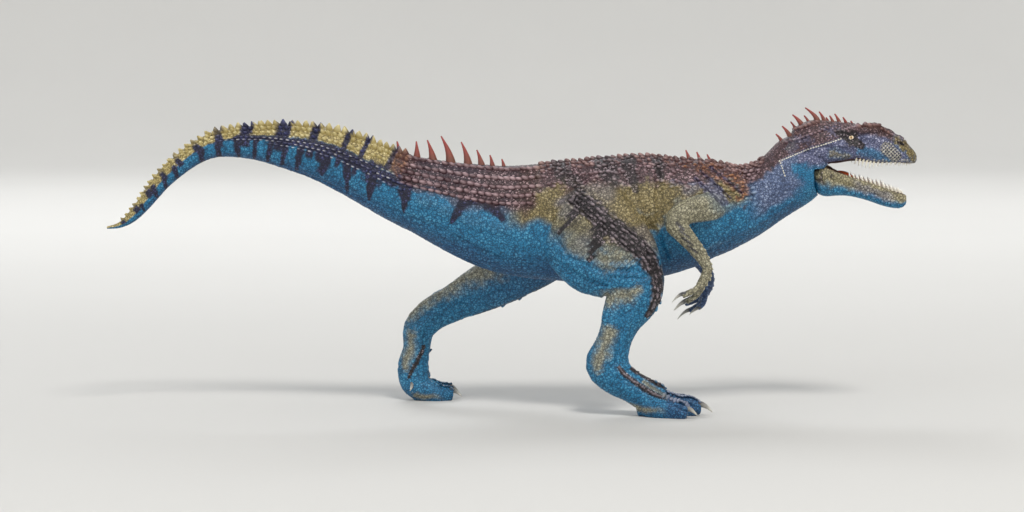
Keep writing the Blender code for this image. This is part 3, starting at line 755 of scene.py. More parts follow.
@dataclass
class BrushWork:
    """Where each paint goes on the skin.

    Strokes are in millimetres of a side view, X and Z. Those of a leg are drawn on the right
    leg's outer face or the left leg's inner one, and are laid on the same place of both.
    """

    gold_edge: Rows = (
        (-128.0, -0.1), (-110.0, 0.05), (-95.0, 0.25), (-80.0, 0.44), (-65.0, 0.5), (-52.0, 0.42),
        (-40.0, 0.33),
    )
    collar_edge: Rows = (
        (-128.0, -0.1), (-110.0, 0.02), (-94.0, 0.2), (-84.0, 0.2), (-72.0, 0.1), (-56.0, 0.02),
        (-40.0, -0.02), (-34.0, 0.1),
    )
    tail_bars: Sequence[Stroke] = (
        drawn((-120.3, 67.6, 0.9), (-119.5, 66.0, 0.5)),
        drawn((-116.2, 73.4, 1.2), (-115.2, 70.3, 0.6)),
        drawn((-112.9, 76.3, 1.3), (-111.9, 73.0, 0.7)),
        drawn((-109.2, 79.7, 1.2), (-108.4, 76.2, 0.7)),
        drawn((-101.0, 85.3, 1.6), (-100.1, 80.6, 0.9)),
        drawn((-95.4, 87.3, 1.6), (-94.8, 82.6, 0.9)),
        drawn((-89.1, 89.3, 1.6), (-88.6, 83.6, 0.9)),
        drawn((-82.8, 89.3, 1.5), (-83.4, 83.4, 0.8)),
        drawn((-77.9, 88.6, 1.5), (-79.2, 82.2, 0.8)),
        drawn((-72.9, 87.3, 1.5), (-74.6, 81.2, 0.8)),
        drawn((-68.0, 86.3, 1.7), (-69.8, 79.4, 0.8)),
        drawn((-61.1, 85.3, 3.6), (-60.8, 80.6, 3.2), (-61.4, 77.8, 1.0)),
        drawn((-53.1, 81.3, 2.2), (-53.4, 72.4, 0.8)),
        drawn((-45.2, 78.6, 4.2), (-46.2, 69.4, 0.5)),
        drawn((-34.0, 76.4, 4.6), (-34.8, 65.4, 0.5)),
        drawn((-13.4, 72.0, 4.2), (-16.2, 68.0, 3.2), (-19.2, 62.2, 0.6)),
        drawn((-13.4, 71.4, 3.0), (-8.0, 70.0, 3.6), (-2.8, 63.6, 1.2)),
    )
    tail_rings: Rows = (
        (-126.2, 0.7), (-121.6, 0.8), (-117.2, 0.8), (-112.4, 0.8), (-107.4, 0.9), (-101.4, 0.9),
        (-94.7, 1.4), (-86.2, 2.0), (-74.8, 2.5), (-65.3, 1.4), (-56.2, 0.9), (-50.6, 0.9),
        (-42.4, 0.9),
    )
    flank_patches: Sequence[Stroke] = (
        drawn((31.0, 81.0, 4.6), (32.0, 77.6, 3.4), (33.4, 73.6, 1.2)),
        drawn((38.0, 81.0, 3.4), (39.2, 77.0, 2.8), (40.4, 72.6, 1.0)),
        drawn((15.0, 81.0, 3.4), (19.0, 76.4, 2.8), (24.6, 72.0, 2.0)),
        drawn((48.0, 81.0, 2.6), (48.6, 76.2, 1.0)),
    )
    flank_low: Stroke = drawn(
        (16.0, 66.0, 6.0), (27.0, 61.4, 7.6), (37.1, 61.4, 7.6), (44.6, 63.0, 7.0),
        (51.1, 66.6, 5.6), (58.0, 72.0, 4.0), soft=0.9,
    )
    frill: Stroke = drawn(
        (51.0, 82.0, 1.8), (58.3, 80.6, 2.2), (66.4, 79.0, 3.4), (73.0, 75.6, 4.4),
        (75.6, 70.4, 4.0), (74.2, 66.0, 2.0), soft=0.6,
    )
    ridges_dark: Sequence[Stroke] = (
        drawn((59.6, 76.8, 1.0), (68.7, 67.9, 0.7), soft=0.9),
        drawn((61.5, 78.9, 1.0), (71.3, 70.2, 0.7), soft=0.9),
        drawn((65.1, 80.0, 1.0), (74.9, 71.8, 0.8), soft=0.9),
    )
    shoulder_lilac: Sequence[Stroke] = (
        drawn((53.0, 76.4, 3.0), (58.6, 75.8, 2.4), soft=0.8),
        drawn((61.5, 76.6, 3.6), (68.7, 69.4, 2.2), soft=0.6),
        drawn((79.0, 78.0, 4.4), (83.0, 74.0, 4.0), soft=0.9),
    )
    thigh_band: Stroke = drawn(
        (10.0, 77.2, 2.4), (15.9, 74.0, 3.4), (22.3, 69.1, 4.2), (28.8, 64.2, 4.6),
        (35.3, 59.2, 4.6), (41.2, 54.4, 4.4), (45.0, 50.4, 3.8), (46.8, 45.4, 3.2),
        (47.2, 40.8, 2.8), (46.2, 36.3, 2.2), (43.8, 32.4, 1.0),
    )
    thigh_bars: Sequence[Stroke] = (
        drawn((24.6, 66.6, 2.8), (20.6, 62.0, 2.0), (17.0, 57.4, 0.6), soft=0.6),
        drawn((31.2, 61.8, 4.2), (28.8, 56.4, 2.9), (25.6, 49.9, 0.6), soft=0.6),
    )
    leg_sand: Sequence[Stroke] = (
        drawn((0.0, 76.0, 6.0), (8.0, 70.0, 6.6), (13.4, 62.0, 4.4), soft=1.0),
        drawn((15.8, 69.4, 5.6), (24.9, 62.9, 5.0), soft=1.0),
        drawn((31.0, 51.0, 6.4), (38.6, 52.0, 4.6), soft=1.0),
        drawn((20.7, 55.0, 4.4), (24.9, 52.4, 3.6), soft=1.0),
        drawn((31.0, 38.0, 6.0), (36.6, 39.0, 5.4), (40.6, 40.6, 3.0), soft=1.0),
        drawn((31.8, 27.4, 4.4), (29.4, 21.0, 4.6), (28.0, 16.0, 2.6), soft=1.0),
        drawn((38.4, 3.4, 1.9), (50.8, 1.4, 1.5), soft=1.0),
        drawn((42.7, 11.4, 1.2), (52.7, 5.8, 1.0), soft=1.0),
    )
    inner_sand: Sequence[Stroke] = (
        drawn(
            (-3.0, 47.5, 6.4), (-18.4, 41.0, 6.4), (-29.0, 35.0, 6.0), (-34.5, 29.0, 4.4),
            soft=1.0,
        ),
        drawn((-33.6, 23.0, 3.2), (-34.4, 16.0, 3.2), (-35.7, 11.0, 2.4), soft=1.0),
        drawn((-32.3, 2.2, 2.0), (-21.9, 0.7, 1.4), soft=1.0),
    )
    shin_rows: Sequence[Stroke] = (
        drawn((34.9, 15.9, 1.0), (45.0, 8.1, 1.2), (56.3, 3.6, 0.9)),
        drawn((38.8, 15.7, 1.0), (48.8, 10.0, 1.2), (60.2, 4.8, 0.9)),
    )
    inner_rows: Sequence[Stroke] = (
        drawn((-29.3, 18.6, 0.8), (-31.6, 13.4, 1.1), (-34.3, 8.6, 0.7)),
    )
    forearm_bars: Sequence[Stroke] = (
        drawn((53.4, 62.6, 0.7), (55.6, 60.2, 0.5)),
        drawn((54.2, 60.2, 0.7), (57.2, 58.0, 0.5)),
        drawn((55.2, 57.8, 0.7), (58.6, 55.4, 0.5)),
        drawn((57.0, 55.2, 0.6), (60.0, 53.0, 0.4)),
    )
    ridge_paint: Rows = ((106.0, 91.4), (119.0, 90.4), (125.0, 88.2), (132.0, 85.4))
    white_line: Rows = ((88.9, 77.4), (87.4, 82.0), (96.6, 85.9), (103.1, 87.9), (107.1, 89.2))
    eye_patch: Stroke = drawn((106.6, 91.2, 1.5), (110.4, 89.6, 3.1), (113.8, 87.0, 1.5))
    cheek_blue: Stroke = drawn(
        (113.3, 85.8, 2.2), (118.6, 84.2, 2.8), (123.4, 82.4, 1.6), soft=0.8,
    )
    crest_red: Stroke = drawn(
        (113.0, 93.2, 0.8), (117.0, 93.4, 1.5), (120.0, 93.2, 1.5), (123.4, 91.0, 0.7), soft=0.8,
    )
    crown_red: Stroke = drawn(
        (88.0, 90.0, 2.8), (95.0, 94.6, 2.6), (103.0, 95.4, 2.0), (110.0, 94.4, 1.0), soft=0.8,
    )
    snout_tan: Stroke = drawn(
        (125.6, 88.8, 2.4), (129.6, 86.2, 3.2), (131.8, 82.6, 2.6), soft=0.8,
    )
    temple_tan: Stroke = drawn((104.6, 84.4, 2.6), (109.6, 83.6, 2.0), soft=1.0)
    hatch_place: Stroke = drawn((122.4, 86.0, 2.7), (125.4, 83.4, 2.2), soft=0.4)
    hatch_gap: float = 1.25
    naris: Stroke = drawn((126.4, 87.9, 0.75), (128.0, 87.3, 0.5))
    jaw_teal: Stroke = drawn((93.0, 79.4, 3.0), (97.6, 77.2, 3.8), soft=0.8)

    def empty(self, count: int) -> Masks:
        """Masks with nothing on them, which leave the first paint bare."""
        return {paint: np.zeros(count) for paint in Paint}

    def body(self, points: Values, normals: Values, maps: "Maps") -> Masks:
        """Masks of the paints on the tail, trunk, neck and limbs."""
        station, height, out = maps.body.locate(points)
        broad, middle, fine = (grain(points, size) for size in (9.0, 3.4, 1.3))
        ragged = 0.2 * middle + 0.22 * fine
        high = height + 0.08 * broad + 0.07 * middle
        x, z = points[:, 0], points[:, 2]
        tail = 1.0 - smooth(-44.0, -37.5, station + 1.0 * middle)
        hips = window(-36.0, 6.0, station, 5.0)
        trunk = window(4.0, 74.0, station, 9.0)
        neck = smooth(74.0, 82.0, station)

        mask = self.empty(len(points))
        # Darker blue under the belly: painted shade over the blue paint
        mask[Paint.SHADE_BLUE] = 0.75 * (1.0 - smooth(-1.0, -0.4, high))
        flank = smooth(-0.12, 0.14, high) * trunk
        low = self.flank_low.cover(x, z, ragged)
        tinge = 0.5 * smooth(0.1, 0.5, high) * hips * smooth(-0.5, 0.5, broad)
        mask[Paint.TAN] = np.maximum.reduce([flank, low, tinge]) * (1.0 - neck)
        mask[Paint.LAVENDER] = np.maximum.reduce(
            [
                0.8 * neck * window(-0.35, 0.5, high, 0.3),
                0.5 * trunk * smooth(0.25, 0.5, high) * smooth(0.1, 0.7, broad),
                0.8 * brushed(self.shoulder_lilac, x, z, ragged),
            ]
        )
        back = smooth(0.5, 0.68, high + 0.06 * fine) * smooth(-2.0, 12.0, station)
        saddle = smooth(0.08, 0.2, high) * window(-38.0, 4.0, station, 3.0)
        mask[Paint.MAUVE] = np.maximum(back, 0.6 * saddle)
        under_rows = smooth(0.2, 0.32, height + 0.05 * middle) * window(-36.5, 7.0, station, 2.0)
        mask[Paint.PLUM] = 0.85 * under_rows
        crest = height + 0.05 * fine - value_at(self.gold_edge, station)
        mask[Paint.GOLD] = tail * smooth(-0.05, 0.05, crest)
        orange = window(-42.0, -35.4, station, 1.4) * smooth(0.26, 0.4, high)
        speckled = 0.9 * smooth(-0.5, 0.6, broad + 1.3 * fine)
        mask[Paint.EMBER] = np.maximum(0.9 * orange, self.frill.cover(x, z, ragged) * speckled)
        rings = np.zeros(len(points))
        for place, width in self.tail_rings:
            away = np.abs(station - place) / width + ragged
            rings = np.maximum(rings, 1.0 - smooth(0.7, 1.1, away))
        upper = smooth(-0.35, -0.15, height)
        thinned = 1.0 - 0.65 * smooth(0.55, 0.85, height) * (1.0 - smooth(-100.0, -90.0, station))
        edge = value_at(self.collar_edge, station)
        far_down = 1.0 - smooth(-37.0, -30.0, station)
        collar = far_down * smooth(-0.06, 0.06, height + 0.08 * middle - edge)
        collar = collar * (1.0 - mask[Paint.GOLD]) * (1.0 - 0.9 * orange)
        bars = brushed(self.tail_bars, x, z, ragged)
        ridges = 0.7 * brushed(self.ridges_dark, x, z, ragged)
        rings = rings * tail * upper * thinned
        mask[Paint.INDIGO] = np.maximum.reduce([rings, collar, bars, ridges])
        mask[Paint.DARK] = 0.8 * brushed(self.flank_patches, x, z, ragged)
        round_trunk = np.hypot(height, out)
        for side in Side:
            self.leg(points, normals, maps, mask, side, round_trunk, ragged, broad)
            self.arm(points, normals, maps, mask, side, round_trunk, ragged, broad)
        return mask

    def lay_over(
        self, mask: Masks, here: Values, on: Values, wanted: Masks
    ) -> None:
        """Puts a limb's own paints over the body's.

        Args:
            mask: The body's masks, which are changed.
            here: Which places may belong to the limb.
            on: How far each of them does.
            wanted: The limb's masks. A paint that isn't among them is taken away.
        """
        for paint, values in mask.items():
            values[here] = values[here] * (1.0 - on) + wanted.get(paint, 0.0) * on

    def leg(
        self,
        points: Values,
        normals: Values,
        maps: "Maps",
        mask: Masks,
        side: Side,
        round_trunk: Values,
        ragged: Values,
        broad: Values,
    ) -> None:
        """Paints a leg over the body's masks.

        Args:
            points: Places in millimetres.
            normals: Directions of the skin there.
            maps: Where the places lie on the limbs.
            mask: The body's masks, which are changed.
            side: Which leg.
            round_trunk: How far each place is from the spine, 1 being the trunk's surface.
            ragged: What makes the strokes' edges uneven.
            broad: Slow noise.
        """
        low = 1.0 - smooth(70.0, 80.0, points[:, 2])
        reach = smooth(1.0, 1.16, round_trunk) * low * window(-44.0, 49.0, points[:, 0], 2.0)
        here = (points[:, 1] * side.value > 0) & (reach > 0)
        row, front, far = maps.legs[side].locate(points[here])
        on, wobble, u = reach[here], 0.7 * ragged[here], row * ROW_LENGTH
        x, z = points[here, 0], points[here, 2]
        facing = normals[here, 1] * side.value
        outer = smooth(-0.35, 0.35, facing + 0.15 * broad[here])

        def laid(strokes: Sequence[Stroke], drawn_on: Side) -> Values:
            return brushed((maps.on_leg(stroke, drawn_on) for stroke in strokes), u, front, wobble)

        sand = laid(self.leg_sand, Side.RIGHT) * outer
        sand = np.maximum(sand, laid(self.inner_sand, Side.LEFT) * (1.0 - outer))
        sand *= 1.0 - smooth(1.25, 1.9, far) * smooth(12.0, 13.5, row)
        upper = smooth(54.0, 63.0, z + 2.2 * broad[here] + 0.12 * x)
        bars = laid(self.thigh_bars, Side.RIGHT) * outer
        band = laid([self.thigh_band, *self.shin_rows], Side.RIGHT) * smooth(-0.7, 0.0, facing)
        inner_band = laid(self.inner_rows, Side.LEFT) * (1.0 - outer)
        # Darker blue inside the thigh, where it faces the belly: painted shade
        deep = 0.55 * (1.0 - outer) * (1.0 - smooth(3.0, 7.0, row))
        ahead = smooth(-1.5, 2.0, front) * smooth(50.0, 58.0, z)
        wanted = {
            Paint.TAN: outer * np.maximum(0.9 * upper, ahead),
            Paint.SAND: 0.85 * sand * (1.0 - 0.5 * upper),
            Paint.LAVENDER: 0.3 * outer * upper * smooth(-0.2, 0.6, broad[here]),
            Paint.DARK: np.maximum.reduce([bars, band, inner_band]),
            # Darker blue near the ground as well: painted shade
            Paint.SHADE_BLUE: deep + 0.3 * (1.0 - smooth(1.0, 8.0, z)),
        }
        self.lay_over(mask, here, on, wanted)

    def arm(
        self,
        points: Values,
        normals: Values,
        maps: "Maps",
        mask: Masks,
        side: Side,
        round_trunk: Values,
        ragged: Values,
        broad: Values,
    ) -> None:
        """Paints an arm over the body's masks, with the same arguments as a leg."""
        near = window(50.5, 73.0, points[:, 0], 1.5) * window(33.0, 70.0, points[:, 2], 5.0)
        here = (points[:, 1] * side.value > 0) & (near > 0)
        row, _, far = maps.arms[side].locate(points[here])
        on = smooth(1.0, 1.12, round_trunk[here]) * near[here]
        # Fingers spread away from the arm's line, so below row 5 distance doesn't count
        on = on * np.maximum(1.0 - smooth(1.35, 1.7, far), smooth(5.0, 6.0, row))
        on = on * smooth(0.5, 2.0, row + 0.5 * broad[here])
        # Sand where the arm faces out and up, darker blue and lavender where it faces down: painted
        # light and shade over the arm's paint.
        lit = normals[here, 1] * side.value + 0.2 * broad[here] + 0.4 * normals[here, 2]
        outer = smooth(-0.45, 0.25, lit)
        x, z = points[here, 0], points[here, 2]
        if side is Side.LEFT:
            x, z = x - maps.measures.left_arm_forward, z + maps.measures.left_arm_drop
        bars = brushed(self.forearm_bars, x, z, ragged[here]) * outer
        wanted = {
            Paint.SAND: 0.92 * outer,
            Paint.SHADE_BLUE: 0.7 * (1.0 - outer) * smooth(4.0, 7.0, row),
            Paint.LAVENDER: 0.5 * (1.0 - outer),
            Paint.INDIGO: 0.7 * bars,
        }
        self.lay_over(mask, here, on, wanted)

    def head(self, points: Values, normals: Values, maps: "Maps") -> Masks:
        """Masks of the paints on the skull and the top of the neck."""
        _, height, _ = maps.body.locate(points)
        broad, middle, fine = (grain(points, size) for size in (6.0, 2.2, 0.8))
        ragged = 0.2 * middle + 0.25 * fine
        x, y, z = points.T

        def laid(stroke: Stroke) -> Values:
            return stroke.cover(x, z, ragged)

        nape = 1.0 - smooth(92.0, 99.0, x)
        high = height + 0.08 * broad + 0.07 * middle
        mask = self.empty(len(points))
        # Darker blue under the nape: painted shade over the blue paint
        mask[Paint.SHADE_BLUE] = 0.6 * nape * (1.0 - smooth(-1.0, -0.4, high))
        side = smooth(79.0, 82.0, z + 0.6 * middle) * smooth(90.0, 94.0, x)
        snout, temple = laid(self.snout_tan), laid(self.temple_tan)
        lilac = np.maximum(side, 0.8 * nape * window(-0.35, 0.5, high, 0.3))
        lilac *= 1.0 - np.maximum(snout, 0.8 * temple)
        mask[Paint.LAVENDER] = lilac * (1.0 - laid(self.jaw_teal))
        line = value_at(self.white_line[1:], x)
        above = smooth(-0.2, 0.8, z - line + 0.2 * fine) * (1.0 - smooth(106.0, 110.0, x))
        above = above * smooth(84.0, 88.0, x)
        ridge = smooth(-0.9, 0.7, z - value_at(self.ridge_paint, x) + 0.5 * middle)
        mask[Paint.MAUVE] = np.maximum.reduce(
            [above, ridge * smooth(104.0, 108.0, x), nape * smooth(0.45, 0.6, high)]
        )
        olive = 0.75 * smooth(-0.1, 0.5, broad + 0.4 * fine) * above * (1.0 - smooth(93.0, 96.0, z))
        mask[Paint.MAUVE] *= (1.0 - 0.7 * olive) * (1.0 - 0.8 * snout)
        mask[Paint.TAN] = np.maximum.reduce([snout, 0.9 * temple, olive])
        mask[Paint.EMBER] = np.maximum(0.35 * laid(self.crest_red), 0.3 * laid(self.crown_red))
        lattice = np.abs(np.sin(math.pi * np.stack([x + z, x - z]) / self.hatch_gap)).min(axis=0)
        hatched = self.hatch_place.cover(x, z) * (1.0 - smooth(0.3, 0.6, lattice))
        lip = window(113.0, 131.0, x, 1.0) * window(81.0, 82.4, z, 0.4)
        lip = lip * smooth(0.0, 0.5, fine + 0.2)
        mask[Paint.BONE] = np.maximum(hatched, 0.6 * lip)
        eyes = laid(self.eye_patch) * smooth(3.5, 4.6, np.abs(y))
        nostril = self.naris.cover(x, z) * smooth(1.6, 2.4, np.abs(y))
        mask[Paint.DARK] = np.maximum(eyes, nostril)
        mask[Paint.INDIGO] = 0.95 * self.hatch_place.cover(x, z)
        mask[Paint.BLUE] = 0.65 * laid(self.cheek_blue)
        inner = smooth(0.35, 0.75, -normals[:, 2]) * smooth(99.0, 101.0, x) * smooth(78.0, 79.5, z)
        rim = value_at(maps.measures.skull, x)
        mask[Paint.MOUTH] = inner * (1.0 - smooth(-2.3, -1.6, np.abs(y) - rim))
        return mask

    def jaw(self, points: Values, normals: Values, maps: "Maps") -> Masks:
        """Masks of the paints on the lower jaw, in its open pose."""
        x, y, z = points.T
        middle, fine = (grain(points, size) for size in (2.0, 0.8))
        rim, low, high = (value_at(maps.measures.jaw, x, column) for column in (1, 2, 3))
        share = (z - low) / (high - low) + 0.08 * middle
        mask = self.empty(len(points))
        mask[Paint.SAND] = smooth(0.2, 0.55, share)
        mask[Paint.LAVENDER] = 0.45 * window(0.35, 0.7, share, 0.2) * window(114.0, 123.0, x, 4.0)
        spots = smooth(0.35, 0.6, middle + 0.4 * fine) * (1.0 - smooth(104.0, 108.0, x))
        mask[Paint.DARK] = 0.8 * spots * smooth(0.3, 0.5, share)
        inner = smooth(0.3, 0.7, normals[:, 2]) * (1.0 - smooth(-1.0, -0.5, np.abs(y) - rim))
        hollow = 1.0 - smooth(-1.3, -0.9, np.abs(y) - rim)
        inner = np.maximum(inner, hollow * smooth(0.55, 0.7, share))
        mask[Paint.MOUTH] = inner * smooth(102.0, 104.0, x)
        return mask


class Maps:
    """The maps of spine, legs and arms that the brush works with."""

    def __init__(self, measures: Measures) -> None:
        """Makes the maps from the animal's rows."""
        self.measures = measures
        self.body = BodyMap(measures.spine)
        self.legs = {side: LimbMap(measures.limb_of(side)) for side in Side}
        self.arms = {side: LimbMap(measures.arm_of(side)) for side in Side}

    def on_leg(self, stroke: Stroke, side: Side) -> Stroke:
        """Turns a stroke drawn in a leg's side view into one that lies along any leg.

        Args:
            stroke: Places X and Z in millimetres.
            side: The leg it is drawn on.

        Returns:
            The stroke in rows times ROW_LENGTH, and millimetres forward of the leg's line.
        """
        leg = self.legs[side]
        flat = leg.centres[:, [0, 2]]
        places = []
        for place in stroke.points:
            index = int(((flat - place) ** 2).sum(axis=1).argmin())
            front = float((np.array(place) - flat[index]) @ leg.front[index])
            places.append((index / leg.STEPS * ROW_LENGTH, front))
        return Stroke(tuple(places), stroke.widths, stroke.soft)


class Painter:
    """Writes the paints' masks on a mesh, for the paint material to read."""

    def __init__(self, maps: Maps, work: BrushWork) -> None:
        """Keeps the maps and the brush work."""
        self.maps = maps
        self.work = work

    def apply(self, mesh: bpy.types.Mesh, zone: Zone) -> None:
        """Works out each paint's cover on the mesh.

        Args:
            mesh: The mesh, in the animal's own frame.
            zone: Which moulded piece it belongs to.
        """
        rules = {Zone.BODY: self.work.body, Zone.HEAD: self.work.head, Zone.JAW: self.work.jaw}
        mask = rules[zone](read_points(mesh), read_normals(mesh), self.maps)
        for paint, values in mask.items():
            write_values(mesh, "paint_" + paint.name.lower(), np.clip(values, 0.0, 1.0))


def add_node(
    tree: Tree, kind: str, inputs: dict | None = None, **settings: object
) -> bpy.types.Node:
    """Adds a node with its settings and inputs.

    Args:
        tree: The material's node tree.
        kind: The node's type name.
        inputs: Values or sockets for its inputs, by input name or number.
        settings: Properties of the node.

    Returns:
        The new node.
    """
    node = tree.nodes.new(kind)
    for name, value in settings.items():
        setattr(node, name, value)
    for name, value in (inputs or {}).items():
        if isinstance(value, Socket):
            tree.links.new(value, node.inputs[name])
        else:
            node.inputs[name].default_value = value
    return node


def new_material(name: str) -> tuple[bpy.types.Material, Tree, bpy.types.Node]:
    """A material with nothing but its shader, its node tree and the shader."""
    material = bpy.data.materials.new(name)
    material.use_nodes = True
    tree = material.node_tree
    return material, tree, tree.nodes["Principled BSDF"]


def mixed(
    tree: Tree, factor: object, first: object, second: object, **settings: object
) -> Socket:
    """Mixes two colours and gives the colour socket."""
    inputs = {"Factor": factor, 6: first, 7: second}
    return add_node(tree, "ShaderNodeMix", inputs, data_type="RGBA", **settings).outputs[2]


def attribute(tree: Tree, name: str) -> Socket:
    """The number that the mesh's points keep under a name."""
    return add_node(tree, "ShaderNodeAttribute", attribute_name=name).outputs["Fac"]


def ranged(
    tree: Tree,
    value: Socket,
    start: float,
    end: float,
    low: float = 0.0,
    high: float = 1.0,
    **settings: object,
) -> Socket:
    """Maps start and end of a value to low and high."""
    inputs = {"Value": value, "From Min": start, "From Max": end, "To Min": low, "To Max": high}
    return add_node(tree, "ShaderNodeMapRange", inputs, **settings).outputs[0]


def cloud(
    tree: Tree, place: Socket, scale: float, detail: float
) -> Socket:
    """Soft noise with so many lumps to a metre."""
    inputs = {"Vector": place, "Scale": scale, "Detail": detail}
    return add_node(tree, "ShaderNodeTexNoise", inputs).outputs["Fac"]


def bumped(
    tree: Tree,
    shader: bpy.types.Node,
    height: Socket,
    depth_mm: float,
    strength: float,
) -> None:
    """Gives the shader a fine bump."""
    inputs = {"Height": height, "Distance": depth_mm * MM, "Strength": strength}
    normal = add_node(tree, "ShaderNodeBump", inputs).outputs[0]
    tree.links.new(normal, shader.inputs["Normal"])


@dataclass(frozen=True)
class PaintedSkin:
    """Moulded PVC, airbrushed, washed and dry brushed with satin acrylics.

    The grooves between the scales are washed darker and the dry brush catches their tops, which
    also paint in the shade of the grooves and highlights on the tops. The satin surface gives small
    soft glints on each scale.

    Attributes:
        name: Name of the material.
        scale_mm: Size of the finest scales, which lie on top of the modelled ones.
        scale_height_mm: How far they stand out.
        roughness: Satin of the paint.
        mottle_mm: Size of the airbrush's uneven patches.
        wash_and_shade: sRGB hex colour that darkens the grooves, washed paint and painted shade.
        wash_and_shade_strength: How much of it the deepest grooves take.
        drybrush_and_highlight_range: Heights where dry brush and painted highlights take hold.
    """

    name: str = "painted_pvc_moulded"
    scale_mm: float = 0.78
    scale_height_mm: float = 0.09
    roughness: float = 0.47
    mottle_mm: float = 5.0
    wash_and_shade: str = "#5C5F70"
    wash_and_shade_strength: float = 0.7
    drybrush_and_highlight_range: tuple[float, float] = (0.45, 1.25)

    def make(self) -> bpy.types.Material:
        """Builds the material."""
        material, tree, shader = new_material(self.name)
        place = add_node(tree, "ShaderNodeTexCoord").outputs["Object"]
        relief, bare = attribute(tree, "relief"), attribute(tree, "bare")
        mottle = cloud(tree, place, 1 / (self.mottle_mm * MM), 4.0)
        border = add_node(
            tree,
            "ShaderNodeTexVoronoi",
            {"Vector": place, "Scale": 1 / (self.scale_mm * MM)},
            feature="DISTANCE_TO_EDGE",
        ).outputs["Distance"]
        dome = ranged(tree, border, 0.0, 0.26, interpolation_type="SMOOTHSTEP")
        # Where the surface is bare of fine scales, such as on claws and scutes, they count as tops
        fine = add_node(tree, "ShaderNodeMath", {0: dome, 1: bare}, operation="MAXIMUM").outputs[0]
        both = add_node(
            tree, "ShaderNodeMix", {"Factor": 0.5, 2: fine, 3: relief}, data_type="FLOAT"
        ).outputs[0]
        uneven = ranged(tree, mottle, 0.3, 0.7, -0.16, 0.14)
        lifted = add_node(tree, "ShaderNodeMath", {0: both, 1: uneven}, operation="ADD").outputs[0]
        # Paler tops: the dry brush, which also paints highlights on the scales
        brush = ranged(tree, lifted, *self.drybrush_and_highlight_range, interpolation_type="SMOOTHSTEP")
        # Darker grooves: washed paint, which also paints the shade in them
        groove_wash_and_shade = ranged(tree, both, 0.1, 0.5, self.wash_and_shade_strength, 0.0)
        colour: object = None
        for paint in Paint:
            coat = mixed(tree, brush, linear(paint.value.base), linear(paint.value.face))
            cover = attribute(tree, "paint_" + paint.name.lower())
            if paint is Paint.BLUE:
                colour, blue, cheek = coat, coat, cover
                continue
            colour = mixed(tree, cover, colour, coat)
            if paint is Paint.MAUVE:
                colour = mixed(tree, cheek, colour, blue)
        colour = mixed(tree, groove_wash_and_shade, colour, linear(self.wash_and_shade), blend_type="MULTIPLY")
        tree.links.new(colour, shader.inputs["Base Color"])
        gloss = ranged(tree, both, 0.0, 1.0, self.roughness + 0.14, self.roughness - 0.07)
        tree.links.new(gloss, shader.inputs["Roughness"])
        bumped(tree, shader, fine, self.scale_height_mm, 0.65)
        return material


@dataclass(frozen=True)
class TwoTone:
    """Painted PVC that fades from one colour at a piece's root to another at its tip.

    Attributes:
        name: Name of the material.
        root: sRGB hex colour at the root.
        tip: sRGB hex colour at the tip.
        roughness: Satin or gloss of the paint.
        streak_mm: Size of the uneven patches that a brush leaves.
    """

    name: str
    root: str
    tip: str
    roughness: float
    streak_mm: float = 1.2

    def make(self) -> bpy.types.Material:
        """Builds the material."""
        material, tree, shader = new_material(self.name)
        place = add_node(tree, "ShaderNodeTexCoord").outputs["Object"]
        relief = attribute(tree, "relief")
        streak = cloud(tree, place, 1 / (self.streak_mm * MM), 3.0)
        shifted = add_node(
            tree, "ShaderNodeMath", {0: streak, 1: 0.6, 2: relief}, operation="MULTIPLY_ADD"
        ).outputs[0]
        share = ranged(tree, shifted, 0.25, 1.05)
        colour = mixed(tree, share, linear(self.root), linear(self.tip))
        tree.links.new(colour, shader.inputs["Base Color"])
        shader.inputs["Roughness"].default_value = self.roughness
        bumped(tree, shader, streak, 0.06, 0.5)
        return material


@dataclass(frozen=True)
class GlossEye:
    """Gloss enamel over a painted ball: yellow iris, black slit and rim."""

    name: str = "gloss_enamel_eye"
    rim: str = "#0A0908"
    iris: str = "#F0E2CC"
    inner: str = "#D8A648"
    pupil: str = "#050405"
    roughness: float = 0.08

    def make(self) -> bpy.types.Material:
        """Builds the material from the ring attribute, 0 at the pupil and 1 at the rim."""
        material, tree, shader = new_material(self.name)
        ring, slit = attribute(tree, "relief"), attribute(tree, "slit")
        edge, depth = ranged(tree, ring, 0.7, 0.76), ranged(tree, ring, 0.1, 0.5)
        iris = mixed(tree, depth, linear(self.inner), linear(self.iris))
        colour = mixed(tree, edge, iris, linear(self.rim))
        colour = mixed(tree, slit, colour, linear(self.pupil))
        tree.links.new(colour, shader.inputs["Base Color"])
        shader.inputs["Roughness"].default_value = self.roughness
        shader.inputs["Coat Weight"].default_value = 0.6
        return material


class Finishes:
    """All the finishes, each made once."""

    def __init__(self) -> None:
        """Builds the materials."""
        self.skin = PaintedSkin().make()
        # Red paint over a tan root, which the photo shows on the spines of crest and tail
        self.spine = TwoTone("painted_pvc_spine", "#6A4A3A", "#98403A", 0.45).make()
        self.tooth = TwoTone("painted_pvc_tooth", "#CFC4A6", "#F6F2E8", 0.25).make()
        self.claw = TwoTone("painted_pvc_claw", "#23242C", "#C9C6BC", 0.3).make()
        # Gloss varnish over flesh paint, which looks wet. On the tongue it is darker underneath
        # and lighter on top, painted shade and light.
        self.mouth = TwoTone("gloss_varnished_mouth", "#5A1712", "#C65A34", 0.18).make()
        self.gum = TwoTone("gloss_varnished_gum", "#2C0F0D", "#6A3026", 0.25, 0.8).make()
        self.eye = GlossEye().make()


